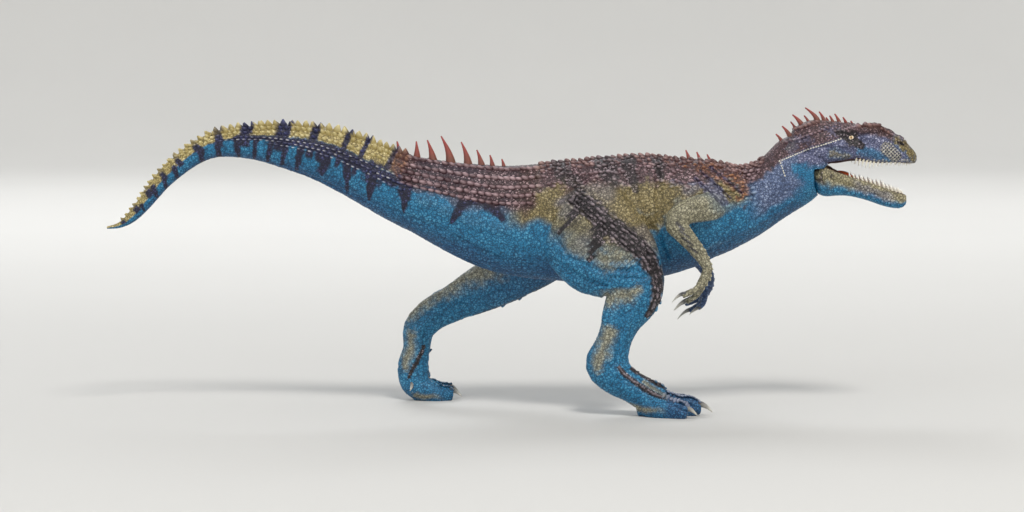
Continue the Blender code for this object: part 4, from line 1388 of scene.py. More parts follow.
def hand_in(
    obj: Piece,
    material: bpy.types.Material,
    body: str = "figure",
    replaces: Sequence[str] = (),
) -> None:
    """Moves a finished piece to its place in the frame and says what it is.

    Args:
        obj: The piece, in the animal's own frame.
        material: Its finish.
        body: The moving body it rides on.
        replaces: The CAD nodes it stands for.
    """
    mesh = obj.data
    mesh.transform(Matrix.Translation((0, MIDDLE_PLANE_Y * MM, 0)))
    mesh.materials.clear()
    mesh.materials.append(material)
    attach(obj, body)
    if replaces:
        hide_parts(*replaces)
    triangles = sum(len(face.vertices) - 2 for face in mesh.polygons)
    LOG.info("%s: %d triangles, rides on %s", obj.name, triangles, body)


def creases(u: Values, v: Values, seed: float) -> Values:
    """Thin wandering lines, 1 on a line, on a flat map where one unit is a usual gap."""
    places = zip(u.tolist(), v.tolist())
    values = np.abs([noise.noise((a, b, seed)) for a, b in places])
    return 1.0 - smooth(0.0, 0.16, values)


@dataclass
class Skin:
    """The skin of tail, trunk, neck, legs and arms, cut where the figurine's pieces meet.

    Forms are raised or sunk strokes in a side view, X and Z, with their heights in millimetres.
    """

    measures: Measures
    voxel: float = 0.335
    rounds: int = 11
    limb_swell: float = 0.12
    scale_size: float = 1.25
    scale_height: float = 0.13
    crease_depth: float = 0.2
    neck_cut: tuple[Row, Row] = ((88.5, 0.0, 75.5), (0.81, 0.0, 0.58))
    shin_cut_z: float = 29.0
    tail_cut_x: float = -28.0
    hips_cut_x: float = 16.0
    ribs_cut_x: float = 46.0
    trunk_forms: Forms = (
        # Shadow line in front of the thigh, and the ribs' soft swellings
        shaped(
            -1.1, (19.0, 77.6, 1.6), (33.0, 71.4, 2.4), (46.0, 60.0, 2.6), (50.6, 50.6, 1.6),
            soft=0.95,
        ),
        shaped(-0.45, (38.1, 76.8, 1.3), (37.8, 68.0, 1.5), soft=0.95),
        shaped(-0.75, (47.5, 78.7, 1.5), (48.2, 62.4, 1.8), soft=0.95),
        shaped(0.5, (42.0, 73.8, 3.4), (42.3, 64.7, 3.8), soft=0.95),
        shaped(0.6, (53.7, 74.1, 3.6), (53.7, 69.9, 3.4), soft=0.95),
        shaped(0.4, (31.9, 75.8, 2.8), (33.2, 72.2, 2.6), soft=0.95),
        # Slanting ridges above the shoulder
        shaped(-0.55, (59.6, 76.8, 0.8), (68.7, 67.9, 0.6)),
        shaped(-0.55, (61.5, 78.9, 0.8), (71.3, 70.2, 0.6)),
        shaped(-0.55, (65.1, 80.0, 0.8), (74.9, 71.8, 0.6)),
        # Edge of the neck's frill and the folds of the throat
        shaped(-0.7, (73.2, 82.6, 0.8), (78.4, 74.2, 1.2), (77.9, 65.7, 0.8)),
        shaped(-0.4, (80.1, 78.7, 0.8), (81.8, 69.6, 1.0)),
        shaped(-0.35, (84.3, 77.4, 0.8), (85.6, 68.3, 1.0)),
        shaped(0.3, (94.1, 70.9, 0.8), (86.3, 65.0, 1.2), (74.0, 58.6, 1.4), (60.0, 52.6, 1.0)),
        # Muscle lines on the tail's side and folds between belly and leg
        shaped(
            -0.4, (-72.0, 79.4, 0.6), (-40.0, 66.4, 1.0), (-23.4, 60.4, 1.3), (-10.2, 52.8, 1.2),
            (6.3, 47.6, 0.8),
        ),
        shaped(-0.35, (-18.5, 57.8, 0.8), (-3.6, 50.5, 0.9)),
        shaped(0.4, (-30.0, 70.0, 3.0), (-14.0, 63.6, 4.2), (-2.0, 60.0, 3.0), soft=0.95),
    )
    outer_leg_forms: Forms = (
        shaped(
            -0.9, (-3.6, 66.2, 1.0), (2.9, 56.6, 1.7), (11.0, 50.4, 1.7), (20.7, 45.2, 1.5),
            (31.4, 41.5, 0.8),
        ),
        shaped(-0.5, (14.2, 58.7, 0.9), (19.1, 50.9, 1.0), (30.4, 46.7, 1.0), (41.7, 46.2, 0.8)),
        shaped(-0.55, (27.1, 50.2, 0.6), (35.9, 49.6, 0.9), (44.3, 52.5, 0.6)),
        shaped(-0.5, (30.4, 47.3, 0.6), (38.5, 46.9, 0.8), (45.6, 49.9, 0.6)),
        shaped(-0.5, (32.7, 44.2, 0.6), (41.7, 43.6, 0.8), (46.9, 47.0, 0.5)),
        shaped(0.7, (26.0, 67.0, 3.0), (36.0, 58.6, 3.8), (42.0, 51.4, 2.6), soft=0.95),
        shaped(0.5, (13.0, 62.0, 3.0), (22.0, 54.6, 3.0), soft=0.95),
        shaped(0.55, (29.4, 38.2, 2.2), (30.1, 31.1, 2.0), soft=0.95),
        shaped(-0.5, (37.2, 40.2, 0.7), (35.3, 26.2, 0.9), (33.6, 17.4, 0.6)),
        shaped(0.35, (41.0, 38.6, 1.1), (37.2, 26.4, 1.0)),
        shaped(-0.4, (31.2, 27.2, 0.6), (29.8, 19.8, 0.8)),
        shaped(0.45, (34.2, 14.4, 1.6), (34.6, 14.1, 1.6)),
        shaped(-0.45, (36.9, 12.0, 0.5), (47.4, 5.9, 0.8), (55.0, 3.0, 0.5)),
        shaped(-0.45, (37.6, 15.6, 0.5), (47.4, 9.4, 0.7), (57.0, 4.2, 0.5)),
    )
    inner_leg_forms: Forms = (
        shaped(
            0.6, (-15.6, 33.4, 0.9), (-25.6, 29.6, 1.1), (-30.2, 25.2, 0.9), (-30.9, 15.8, 0.7),
        ),
        shaped(
            -0.45, (-14.0, 35.2, 0.7), (-25.6, 31.9, 0.9), (-32.4, 26.6, 0.8), (-33.0, 17.8, 0.5),
        ),
        shaped(-0.45, (-22.0, 29.6, 0.6), (-28.3, 24.2, 0.8), (-28.6, 16.8, 0.5)),
        shaped(0.5, (-6.0, 46.0, 2.6), (-20.0, 39.6, 2.6), soft=0.95),
        shaped(-0.4, (2.0, 41.0, 0.7), (-12.0, 34.2, 0.9)),
        shaped(0.4, (-33.6, 9.2, 1.5), (-33.9, 8.9, 1.5)),
    )
    arm_forms: Forms = (
        shaped(-0.3, (52.0, 60.6, 0.5), (56.4, 56.4, 0.6), (61.6, 50.4, 0.4)),
        shaped(-0.25, (55.6, 60.9, 0.4), (59.6, 55.4, 0.5), (63.0, 49.4, 0.4)),
        shaped(-0.4, (57.4, 67.4, 0.7), (65.4, 66.6, 0.8)),
        shaped(0.4, (60.0, 69.4, 1.5), (66.0, 68.6, 1.5), soft=0.95),
    )

    def shapes(self) -> list[Shape]:
        """Lofts of the trunk, the legs, the arms, the toes and the fingers."""
        lofts = [loft(line_sections(self.measures.spine), 32)]
        for side in Side:
            lofts.append(loft(line_sections(self.measures.limb_of(side)), 28))
            lofts += [loft(line_sections(toe), 20) for toe in self.measures.toes_of(side)]
            arm = line_sections(self.measures.arm_of(side), grow=self.limb_swell)
            lofts.append(loft(arm, 24))
            for finger in self.measures.fingers:
                rows = [self.measures.arm_row(row, side) for row in finger]
                lofts.append(loft(line_sections(rows, grow=self.limb_swell), 16))
        return lofts

    def forms(self, points: Values, normals: Values, maps: Maps) -> Values:
        """How far muscles, folds and wrinkles raise or sink each place.

        Args:
            points: Places in millimetres.
            normals: Directions of the skin there.
            maps: Where each place lies on the animal.

        Returns:
            Heights in millimetres.
        """
        station, height, out = maps.body.locate(points)
        x, z = points[:, 0], points[:, 2]
        round_trunk = np.hypot(height, out)
        trunk = 1.0 - smooth(1.06, 1.2, round_trunk)
        on_trunk = trunk * smooth(0.15, 0.55, np.abs(normals[:, 1]))
        wander = 0.18 * grain(points, 5.0, 9.0)
        heights = raised(self.trunk_forms, x, z, wander) * on_trunk
        arc = np.interp(station, maps.body.x, maps.body.arc)
        turn = np.arctan2(np.abs(out), height)
        bend = 0.5 * grain(points, 11.0, 3.0)
        girth = np.interp(station, maps.body.x, maps.body.depth)
        rings = creases(arc / 3.0 + bend, turn * girth / 13.0, 1.5)
        lines = creases(arc / 9.0, turn * girth / 3.6 + bend, 7.5)
        where = smooth(-100.0, -60.0, station) * (1.0 - smooth(0.35, 0.6, height))
        rings *= where * (0.35 + 0.65 * smooth(-0.1, 0.7, grain(points, 14.0, 21.0)))
        lines *= where * window(-70.0, 6.0, station, 12.0)
        heights -= self.crease_depth * np.maximum(rings, 0.8 * lines) * trunk
        on_legs = window(-46.0, 64.0, x, 2.0)
        on_arms = window(46.0, 76.0, x, 2.0) * smooth(30.0, 34.0, z)
        for side in Side:
            for limb, reach in ((maps.legs[side], on_legs), (maps.arms[side], on_arms)):
                here = (points[:, 1] * side.value > 0) & (reach > 0)
                row, front, far = limb.locate(points[here])
                on = smooth(1.0, 1.16, round_trunk[here]) * reach[here]
                facing = normals[here, 1] * side.value
                if limb is maps.legs[side]:
                    made = self.on_a_leg(facing, row, front, maps, side, wander[here])
                else:
                    on = on * (1.0 - smooth(1.5, 1.9, far))
                    made = self.on_an_arm(points[here], facing, row, front, side, wander[here])
                heights[here] = heights[here] * (1.0 - on) + made * on
        return heights

    def on_a_leg(
        self, facing: Values, row: Values, front: Values, maps: Maps, side: Side, wander: Values
    ) -> Values:
        """Muscles and wrinkles of a leg.

        Args:
            facing: How far the skin faces away from the middle plane.
            row: Row down the leg of each place.
            front: How far forward of the leg's line each place is.
            maps: Where the legs run.
            side: Which leg.
            wander: What makes the strokes uneven.

        Returns:
            Heights in millimetres.
        """
        u = row * ROW_LENGTH
        heights = np.zeros(len(row))
        for forms, drawn_on, seen in (
            (self.outer_leg_forms, Side.RIGHT, smooth(0.1, 0.5, facing)),
            (self.inner_leg_forms, Side.LEFT, smooth(0.1, 0.5, -facing)),
        ):
            for stroke, height in forms:
                heights += height * maps.on_leg(stroke, drawn_on).cover(u, front, wander) * seen
        joints = np.maximum.reduce(
            [window(4.0, 6.4, row, 1.2), window(9.0, 11.0, row, 1.2), window(12.5, 14.0, row, 1.0)]
        )
        across = creases(u / 2.6 + wander * 3.0, front / 7.0, 3.5 + side.value)
        return heights - self.crease_depth * across * (0.3 + 0.7 * joints)

    def on_an_arm(
        self, points: Values, facing: Values, row: Values, front: Values, side: Side, wander: Values
    ) -> Values:
        """Tendons and wrinkles of an arm, from its places and what a leg's are made from."""
        x, z = points[:, 0], points[:, 2]
        if side is Side.LEFT:
            x, z = x - self.measures.left_arm_forward, z + self.measures.left_arm_drop
        heights = raised(self.arm_forms, x, z, wander) * smooth(0.1, 0.5, facing)
        across = creases(row * 5.5 / 1.8, front / 5.0, 11.5 + side.value)
        return heights - 0.6 * self.crease_depth * across * smooth(2.0, 4.0, row)

    def model(self, maps: Maps) -> Piece:
        """Fuses the lofts and raises forms and scales on them.

        Args:
            maps: Where each place lies on the animal.

        Returns:
            The whole skin in one object.
        """
        whole = add_object("whole_skin", joined(self.shapes()))
        fuse(whole, self.voxel, self.rounds)
        mesh = whole.data
        points, normals = read_points(mesh), read_normals(mesh)
        ground = smooth(0.0, 1.5, points[:, 2])
        push(mesh, points, normals, self.forms(points, normals, maps) * ground)
        points, normals = read_points(mesh), read_normals(mesh)
        station, height, _ = maps.body.locate(points)
        slim = smooth(-130.0, -100.0, station) * smooth(1.0, 9.0, points[:, 2])
        size = self.scale_size * (0.66 + 0.34 * slim)
        relief = pebbles(points, size)
        tall = self.scale_height * (0.5 + 0.5 * slim) * (0.6 + 0.4 * smooth(-0.6, 0.2, height))
        push(mesh, points, normals, tall * (relief - 0.5) * ground)
        write_values(mesh, "relief", relief)
        return whole

    def part(self, whole: Piece) -> list[Piece]:
        """Cuts the skin into closed pieces.

        Args:
            whole: The whole painted skin, which is removed.

        Returns:
            The pieces from the tail to the shoulders, and the two lower legs.
        """
        place, outward = self.neck_cut
        headless = keep_one_side(whole, place, outward, "headless")
        flat = keep_one_side(headless, (0, 0, 0), (0, 0, -1), "flat")
        upper = keep_one_side(flat, (0, 0, self.shin_cut_z), (0, 0, -1), "upper")
        lower = keep_one_side(flat, (0, 0, self.shin_cut_z), (0, 0, 1), "lower")
        rear = keep_one_side(upper, (self.ribs_cut_x, 0, 0), (1, 0, 0), "rear")
        hind = keep_one_side(rear, (self.hips_cut_x, 0, 0), (1, 0, 0), "hind")
        pieces = [
            keep_one_side(upper, (self.ribs_cut_x, 0, 0), (-1, 0, 0), "shoulder_skin"),
            keep_one_side(rear, (self.hips_cut_x, 0, 0), (-1, 0, 0), "rib_skin"),
            keep_one_side(hind, (self.tail_cut_x, 0, 0), (-1, 0, 0), "hip_skin"),
            keep_one_side(hind, (self.tail_cut_x, 0, 0), (1, 0, 0), "tail_skin"),
            keep_one_side(lower, (0, 0, 0), (0, 1, 0), "right_shin_skin"),
            keep_one_side(lower, (0, 0, 0), (0, -1, 0), "left_shin_skin"),
        ]
        for obj in (whole, headless, flat, upper, lower, rear, hind):
            bpy.data.objects.remove(obj)
        return pieces

    def build(self, maps: Maps, painter: Painter, finishes: Finishes) -> BVHTree:
        """Models, paints and cuts the skin.

        Args:
            maps: Where each place lies on the animal.
            painter: Writes the paints' masks.
            finishes: The materials.

        Returns:
            The surface in millimetres, for scutes to stand on.
        """
        whole = self.model(maps)
        painter.apply(whole.data, Zone.BODY)
        surface = surface_of(whole)
        stands_for = {
            "rib_skin": ("body",),
            "shoulder_skin": ("right_arm", "left_arm"),
            "right_shin_skin": ("right_leg",),
            "left_shin_skin": ("left_leg",),
        }
        for piece in self.part(whole):
            hand_in(piece, finishes.skin, replaces=stands_for.get(piece.name, ()))
        return surface


def surface_of(obj: Piece) -> BVHTree:
    """The object's surface in millimetres, as a tree that rays can hit."""
    points = read_points(obj.data)
    faces = [tuple(face.vertices) for face in obj.data.polygons]
    return BVHTree.FromPolygons(points.tolist(), faces)


@dataclass
class Jaw:
    """The lower jaw with its hinge, and the room that it swings in."""

    measures: Measures
    hinge: Row = (100.4, 0.0, 81.8)
    closes_deg: float = 13.0
    swing_steps: int = 8
    gap: float = 0.4
    cheek_edge: float = 79.6
    cheek_opening: float = 12.0
    knuckle: tuple[float, float] = (2.1, 4.2)
    trunnion: tuple[float, float] = (0.9, 5.3)
    tooth_room: float = 2.4
    room_voxel: float = 0.3
    voxel: float = 0.25
    rounds: int = 6
    scale_size: float = 0.95
    scale_height: float = 0.09
    forms: Forms = (
        shaped(-0.3, (104.0, 76.0, 0.6), (112.0, 73.4, 0.8), (120.0, 70.4, 0.6)),
        shaped(0.25, (108.0, 77.6, 0.5), (118.0, 74.2, 0.6), (127.0, 70.8, 0.5)),
        shaped(0.35, (101.4, 78.6, 0.8), (103.2, 73.4, 1.0)),
        shaped(-0.3, (104.8, 78.0, 0.5), (105.8, 72.6, 0.7)),
    )
    floor: Rows = (
        (105.0, 2.8, 74.8, 83.0, 0.0), (109.6, 3.4, 73.8, 81.0, 0.0),
        (117.5, 2.8, 72.0, 78.0, 0.0), (124.0, 2.3, 70.2, 75.0, 0.0),
        (127.0, 1.2, 70.2, 74.0, 0.0),
    )
    tongue: Rows = (
        (104.0, 0.0, 75.8, 2.0, 2.2), (108.5, 0.0, 76.2, 2.9, 2.4), (112.4, 0.0, 74.6, 2.5, 1.8),
        (115.6, 0.0, 73.2, 2.1, 1.3), (119.0, 0.0, 72.0, 1.8, 1.0), (122.4, 0.0, 71.3, 1.2, 0.7),
        (124.6, 0.0, 71.2, 0.5, 0.4),
    )

    def cylinder(self, radius: float, half_length: float) -> Shape:
        """A closed cylinder on the hinge's axis."""
        bm = bmesh.new()
        turn = Matrix.Translation(Vector(self.hinge) * MM) @ Matrix.Rotation(math.pi / 2, 4, "X")
        bmesh.ops.create_cone(
            bm,
            cap_ends=True,
            segments=24,
            radius1=radius * MM,
            radius2=radius * MM,
            depth=2 * half_length * MM,
            matrix=turn,
        )
        return bm

    def room(self) -> Piece:
        """A tool that holds the jaw, its teeth and its hinge all through the jaw's swing."""
        rows = self.measures.jaw
        teeth = [
            (x, width - 0.2, high - 1.0, high + self.tooth_room, 0.0)
            for x, width, _, high, _ in rows[5:10]
        ]
        below = [
            (x, self.cheek_opening, low, min(high, self.cheek_edge - self.gap), 0.0)
            for x, _, low, high, _ in rows
        ]
        shapes = [loft(profile_sections(below, self.gap), upright=True)]
        axis = Matrix.Translation(Vector(self.hinge) * MM)
        for step in range(self.swing_steps + 1):
            angle = -math.radians(self.closes_deg * step / self.swing_steps)
            turn = axis @ Matrix.Rotation(angle, 4, "Y") @ axis.inverted()
            for some_rows, grow in ((rows, self.gap), (teeth, 0.0)):
                shape = loft(profile_sections(some_rows, grow), upright=True)
                bmesh.ops.transform(shape, matrix=turn, verts=shape.verts)
                shapes.append(shape)
        for radius, half_length in (self.knuckle, self.trunnion):
            shapes.append(self.cylinder(radius + self.gap, half_length + self.gap))
        tool = add_object("jaw_room", joined(shapes))
        fuse(tool, self.room_voxel, 1)
        return tool

    def build(self, painter: Painter, finishes: Finishes) -> None:
        """Models the jaw, paints it and puts the tongue in it."""
        jaw = add_object("jaw_skin", loft(profile_sections(self.measures.jaw), upright=True))
        carve(jaw, add_object("floor", loft(profile_sections(self.floor), upright=True)))
        shapes = [self.cylinder(*self.knuckle), self.cylinder(*self.trunnion)]
        bm = joined(shapes)
        bm.from_mesh(jaw.data)
        bpy.data.objects.remove(jaw)
        jaw = add_object("jaw_skin", bm)
        fuse(jaw, self.voxel, self.rounds)
        mesh = jaw.data
        points, normals = read_points(mesh), read_normals(mesh)
        relief = pebbles(points, np.full(len(points), self.scale_size))
        aside = smooth(0.2, 0.6, np.abs(normals[:, 1]))
        form = raised(self.forms, points[:, 0], points[:, 2])
        push(mesh, points, normals, form * aside + self.scale_height * (relief - 0.6))
        write_values(mesh, "relief", relief)
        painter.apply(mesh, Zone.JAW)
        hand_in(jaw, finishes.skin, "jaw", ("lower_jaw",))

        tongue = add_object("tongue", loft(line_sections(self.tongue, 6), 20))
        points = read_points(tongue.data)
        centre = value_at(self.tongue, points[:, 0], 2)
        # The tongue's top is painted lighter and its underside darker: painted light and shade
        write_values(tongue.data, "relief", smooth(-0.5, 1.5, points[:, 2] - centre))
        hand_in(tongue, finishes.mouth, "jaw")


@dataclass
class Head:
    """Skull and top of the neck, with sockets, nostrils, lips and the jaw's room."""

    measures: Measures
    jaw: Jaw
    voxel: float = 0.23
    rounds: int = 13
    first_neck_row: int = 21
    scale_size: float = 0.95
    scale_height: float = 0.1
    eye: Row = (110.6, 5.9, 89.8)
    eye_radius: float = 1.9
    ridge_foot: Rows = ((104.0, 91.6), (119.0, 91.6), (125.0, 88.8), (132.0, 85.6))
    forms: Forms = (
        # Nostril, hollows in front of and behind the eye, socket and ear
        shaped(-0.9, (126.4, 87.9, 0.8), (128.0, 87.3, 0.6)),
        shaped(-0.8, (114.6, 88.6, 1.5), (119.0, 86.8, 2.1)),
        shaped(-0.45, (121.6, 87.4, 0.9), (122.4, 87.0, 0.9)),
        shaped(-0.7, (101.0, 86.4, 1.5), (105.0, 85.4, 1.9)),
        shaped(-0.75, (110.4, 89.7, 2.2), (110.9, 89.8, 2.2)),
        shaped(-0.8, (95.6, 85.0, 0.8), (96.6, 85.4, 0.7)),
        # Lip, cheek bone, the arch above the eye and the snout's side
        shaped(0.35, (112.4, 82.4, 0.7), (122.0, 82.0, 0.8), (130.5, 81.9, 0.6)),
        shaped(0.5, (106.2, 87.4, 0.6), (109.6, 86.7, 0.9), (113.6, 87.2, 0.5)),
        shaped(0.4, (107.0, 91.6, 0.5), (110.6, 92.2, 0.8), (114.0, 91.2, 0.5)),
        shaped(0.4, (103.0, 82.4, 1.4), (108.0, 83.4, 1.3), (112.6, 84.2, 0.8)),
        shaped(0.4, (123.4, 88.8, 1.2), (128.4, 85.4, 1.4)),
        shaped(-0.3, (88.6, 84.6, 0.7), (96.6, 87.6, 0.8), (104.6, 89.8, 0.5)),
        shaped(0.4, (97.6, 78.6, 1.0), (98.4, 73.0, 1.2)),
        shaped(-0.4, (93.6, 81.0, 0.7), (95.0, 74.6, 0.8)),
    )
    ridge_lower: float = 1.15
    ridge_bumps: float = 0.42

    def shapes(self) -> list[Shape]:
        """Lofts of the neck's top, the skull, its ridges and the balls of the eyes."""
        spine = line_sections(self.measures.spine)[self.first_neck_row * LOFT_STEPS :]
        lofts = [loft(spine, 32), loft(profile_sections(self.measures.skull), 32, upright=True)]
        for side in Side:
            ridge = [
                (x, -side.value * y, z - self.ridge_lower, width, depth)
                for x, y, z, width, depth in self.measures.brow
            ]
            lofts.append(loft(line_sections(ridge), 16))
            ball = bmesh.new()
            centre = Vector((self.eye[0], side.value * self.eye[1], self.eye[2])) * MM
            bmesh.ops.create_uvsphere(
                ball,
                u_segments=24,
                v_segments=16,
                radius=self.eye_radius * MM,
                matrix=Matrix.Translation(centre),
            )
            lofts.append(ball)
        return lofts

    def build(self, neck_cut: tuple[Row, Row], painter: Painter, finishes: Finishes) -> BVHTree:
        """Models the head, cuts the mouth and paints it.

        Args:
            neck_cut: Place and direction of the plane where the neck's skin meets the head's.
            painter: Writes the paints' masks.
            finishes: The materials.

        Returns:
            The surface in millimetres, for scutes to stand on.
        """
        whole = add_object("whole_head", joined(self.shapes()))
        fuse(whole, self.voxel, self.rounds)
        carve(whole, self.jaw.room())
        fuse(whole, self.voxel, 3)
        place, outward = neck_cut
        backward = tuple(-value for value in outward)
        head = keep_one_side(whole, place, backward, "head_skin")
        bpy.data.objects.remove(whole)
        mesh = head.data
        points, normals = read_points(mesh), read_normals(mesh)
        ahead = (points - np.array(place)) @ np.array(outward)
        fade = smooth(0.0, 2.5, ahead)
        x, z = points[:, 0], points[:, 2]
        form = raised(self.forms, x, z) * smooth(0.2, 0.6, np.abs(normals[:, 1]))
        bumpy = smooth(-0.6, 0.6, z - value_at(self.ridge_foot, x)) * window(104.0, 131.0, x, 2.0)
        form += self.ridge_bumps * grain(points, 1.9, 5.0) * bumpy
        size = self.scale_size + 0.5 * (1.0 - smooth(0.0, 10.0, ahead))
        relief = pebbles(points, size)
        inside = smooth(0.35, 0.75, -normals[:, 2]) * smooth(99.0, 101.0, x)
        scales = self.scale_height * (relief - 0.5) * (1.0 - inside)
        push(mesh, points, normals, fade * (form + scales))
        write_values(mesh, "relief", relief * (1.0 - 0.6 * inside))
        painter.apply(mesh, Zone.HEAD)
        surface = surface_of(head)
        hand_in(head, finishes.skin)
        return surface


class ScuteForm(Enum):
    """How a scute is shaped."""

    KEELED = "keeled"
    PLATE = "plate"
    PEBBLE = "pebble"


@dataclass(frozen=True)
class ScuteRow:
    """A row of scutes along the back, on both sides of the crest.

    Attributes:
        start: Station of the first scute.
        end: Station of the last scute.
        angle: Degrees down from the crest.
        spacing: Distance along the back between two scutes.
        size: Length, width and height of a scute.
        form: Its shape.
        scatter: Share of the spacing by which places differ.
        end_angle: Degrees at the end, if the row slants.
    """

    start: float
    end: float
    angle: float
    spacing: float
    size: tuple[float, float, float]
    form: ScuteForm
    scatter: float = 0.12
    end_angle: float | None = None


def scute(
    place: Vector, normal: Vector, tailward: Vector, size: Row, form: ScuteForm, tone: float = 1.0
) -> Shape:
    """One scute on the skin.

    Args:
        place: Where it stands, in millimetres.
        normal: The skin's direction there.
        tailward: The direction in which its keel leans.
        size: Its length, width and height.
        form: Its shape.
        tone: How much of the dry brush and painted highlight its top takes.

    Returns:
        A new bmesh in metres.
    """
    bm = bmesh.new()
    layer = bm.verts.layers.float.new("relief")
    back = (tailward - tailward.dot(normal) * normal).normalized()
    across = normal.cross(back)
    length, width, height = size
    bmesh.ops.create_uvsphere(bm, u_segments=8, v_segments=6, radius=1.0)
    for vert in bm.verts:
        x, y, z = vert.co
        rise = max(0.0, z)
        if form is ScuteForm.KEELED:
            y *= 1.0 - 0.6 * rise
            x = x * (1.0 - 0.3 * rise) + 0.55 * rise
        elif form is ScuteForm.PLATE:
            y *= 1.0 - 0.65 * rise
            x = x * (1.0 - 0.6 * rise) + 0.45 * rise
        offset = back * (x * length / 2) + across * (y * width / 2) + normal * (z * height)
        vert.co = (place + offset) * MM
        vert[layer] = rise * tone
    return bm


def cast(
    surface: BVHTree, inside: Vector, outward: Vector, reach: float = 45.0
) -> tuple[Vector | None, Vector | None]:
    """Looks back at the skin from outside.

    Args:
        surface: The skin in millimetres.
        inside: The place that is looked at.
        outward: Direction to the eye.
        reach: How far off the eye is.

    Returns:
        Where the skin is met first and its direction there, or None twice.
    """
    return surface.ray_cast(inside + outward * reach, -outward)[:2]


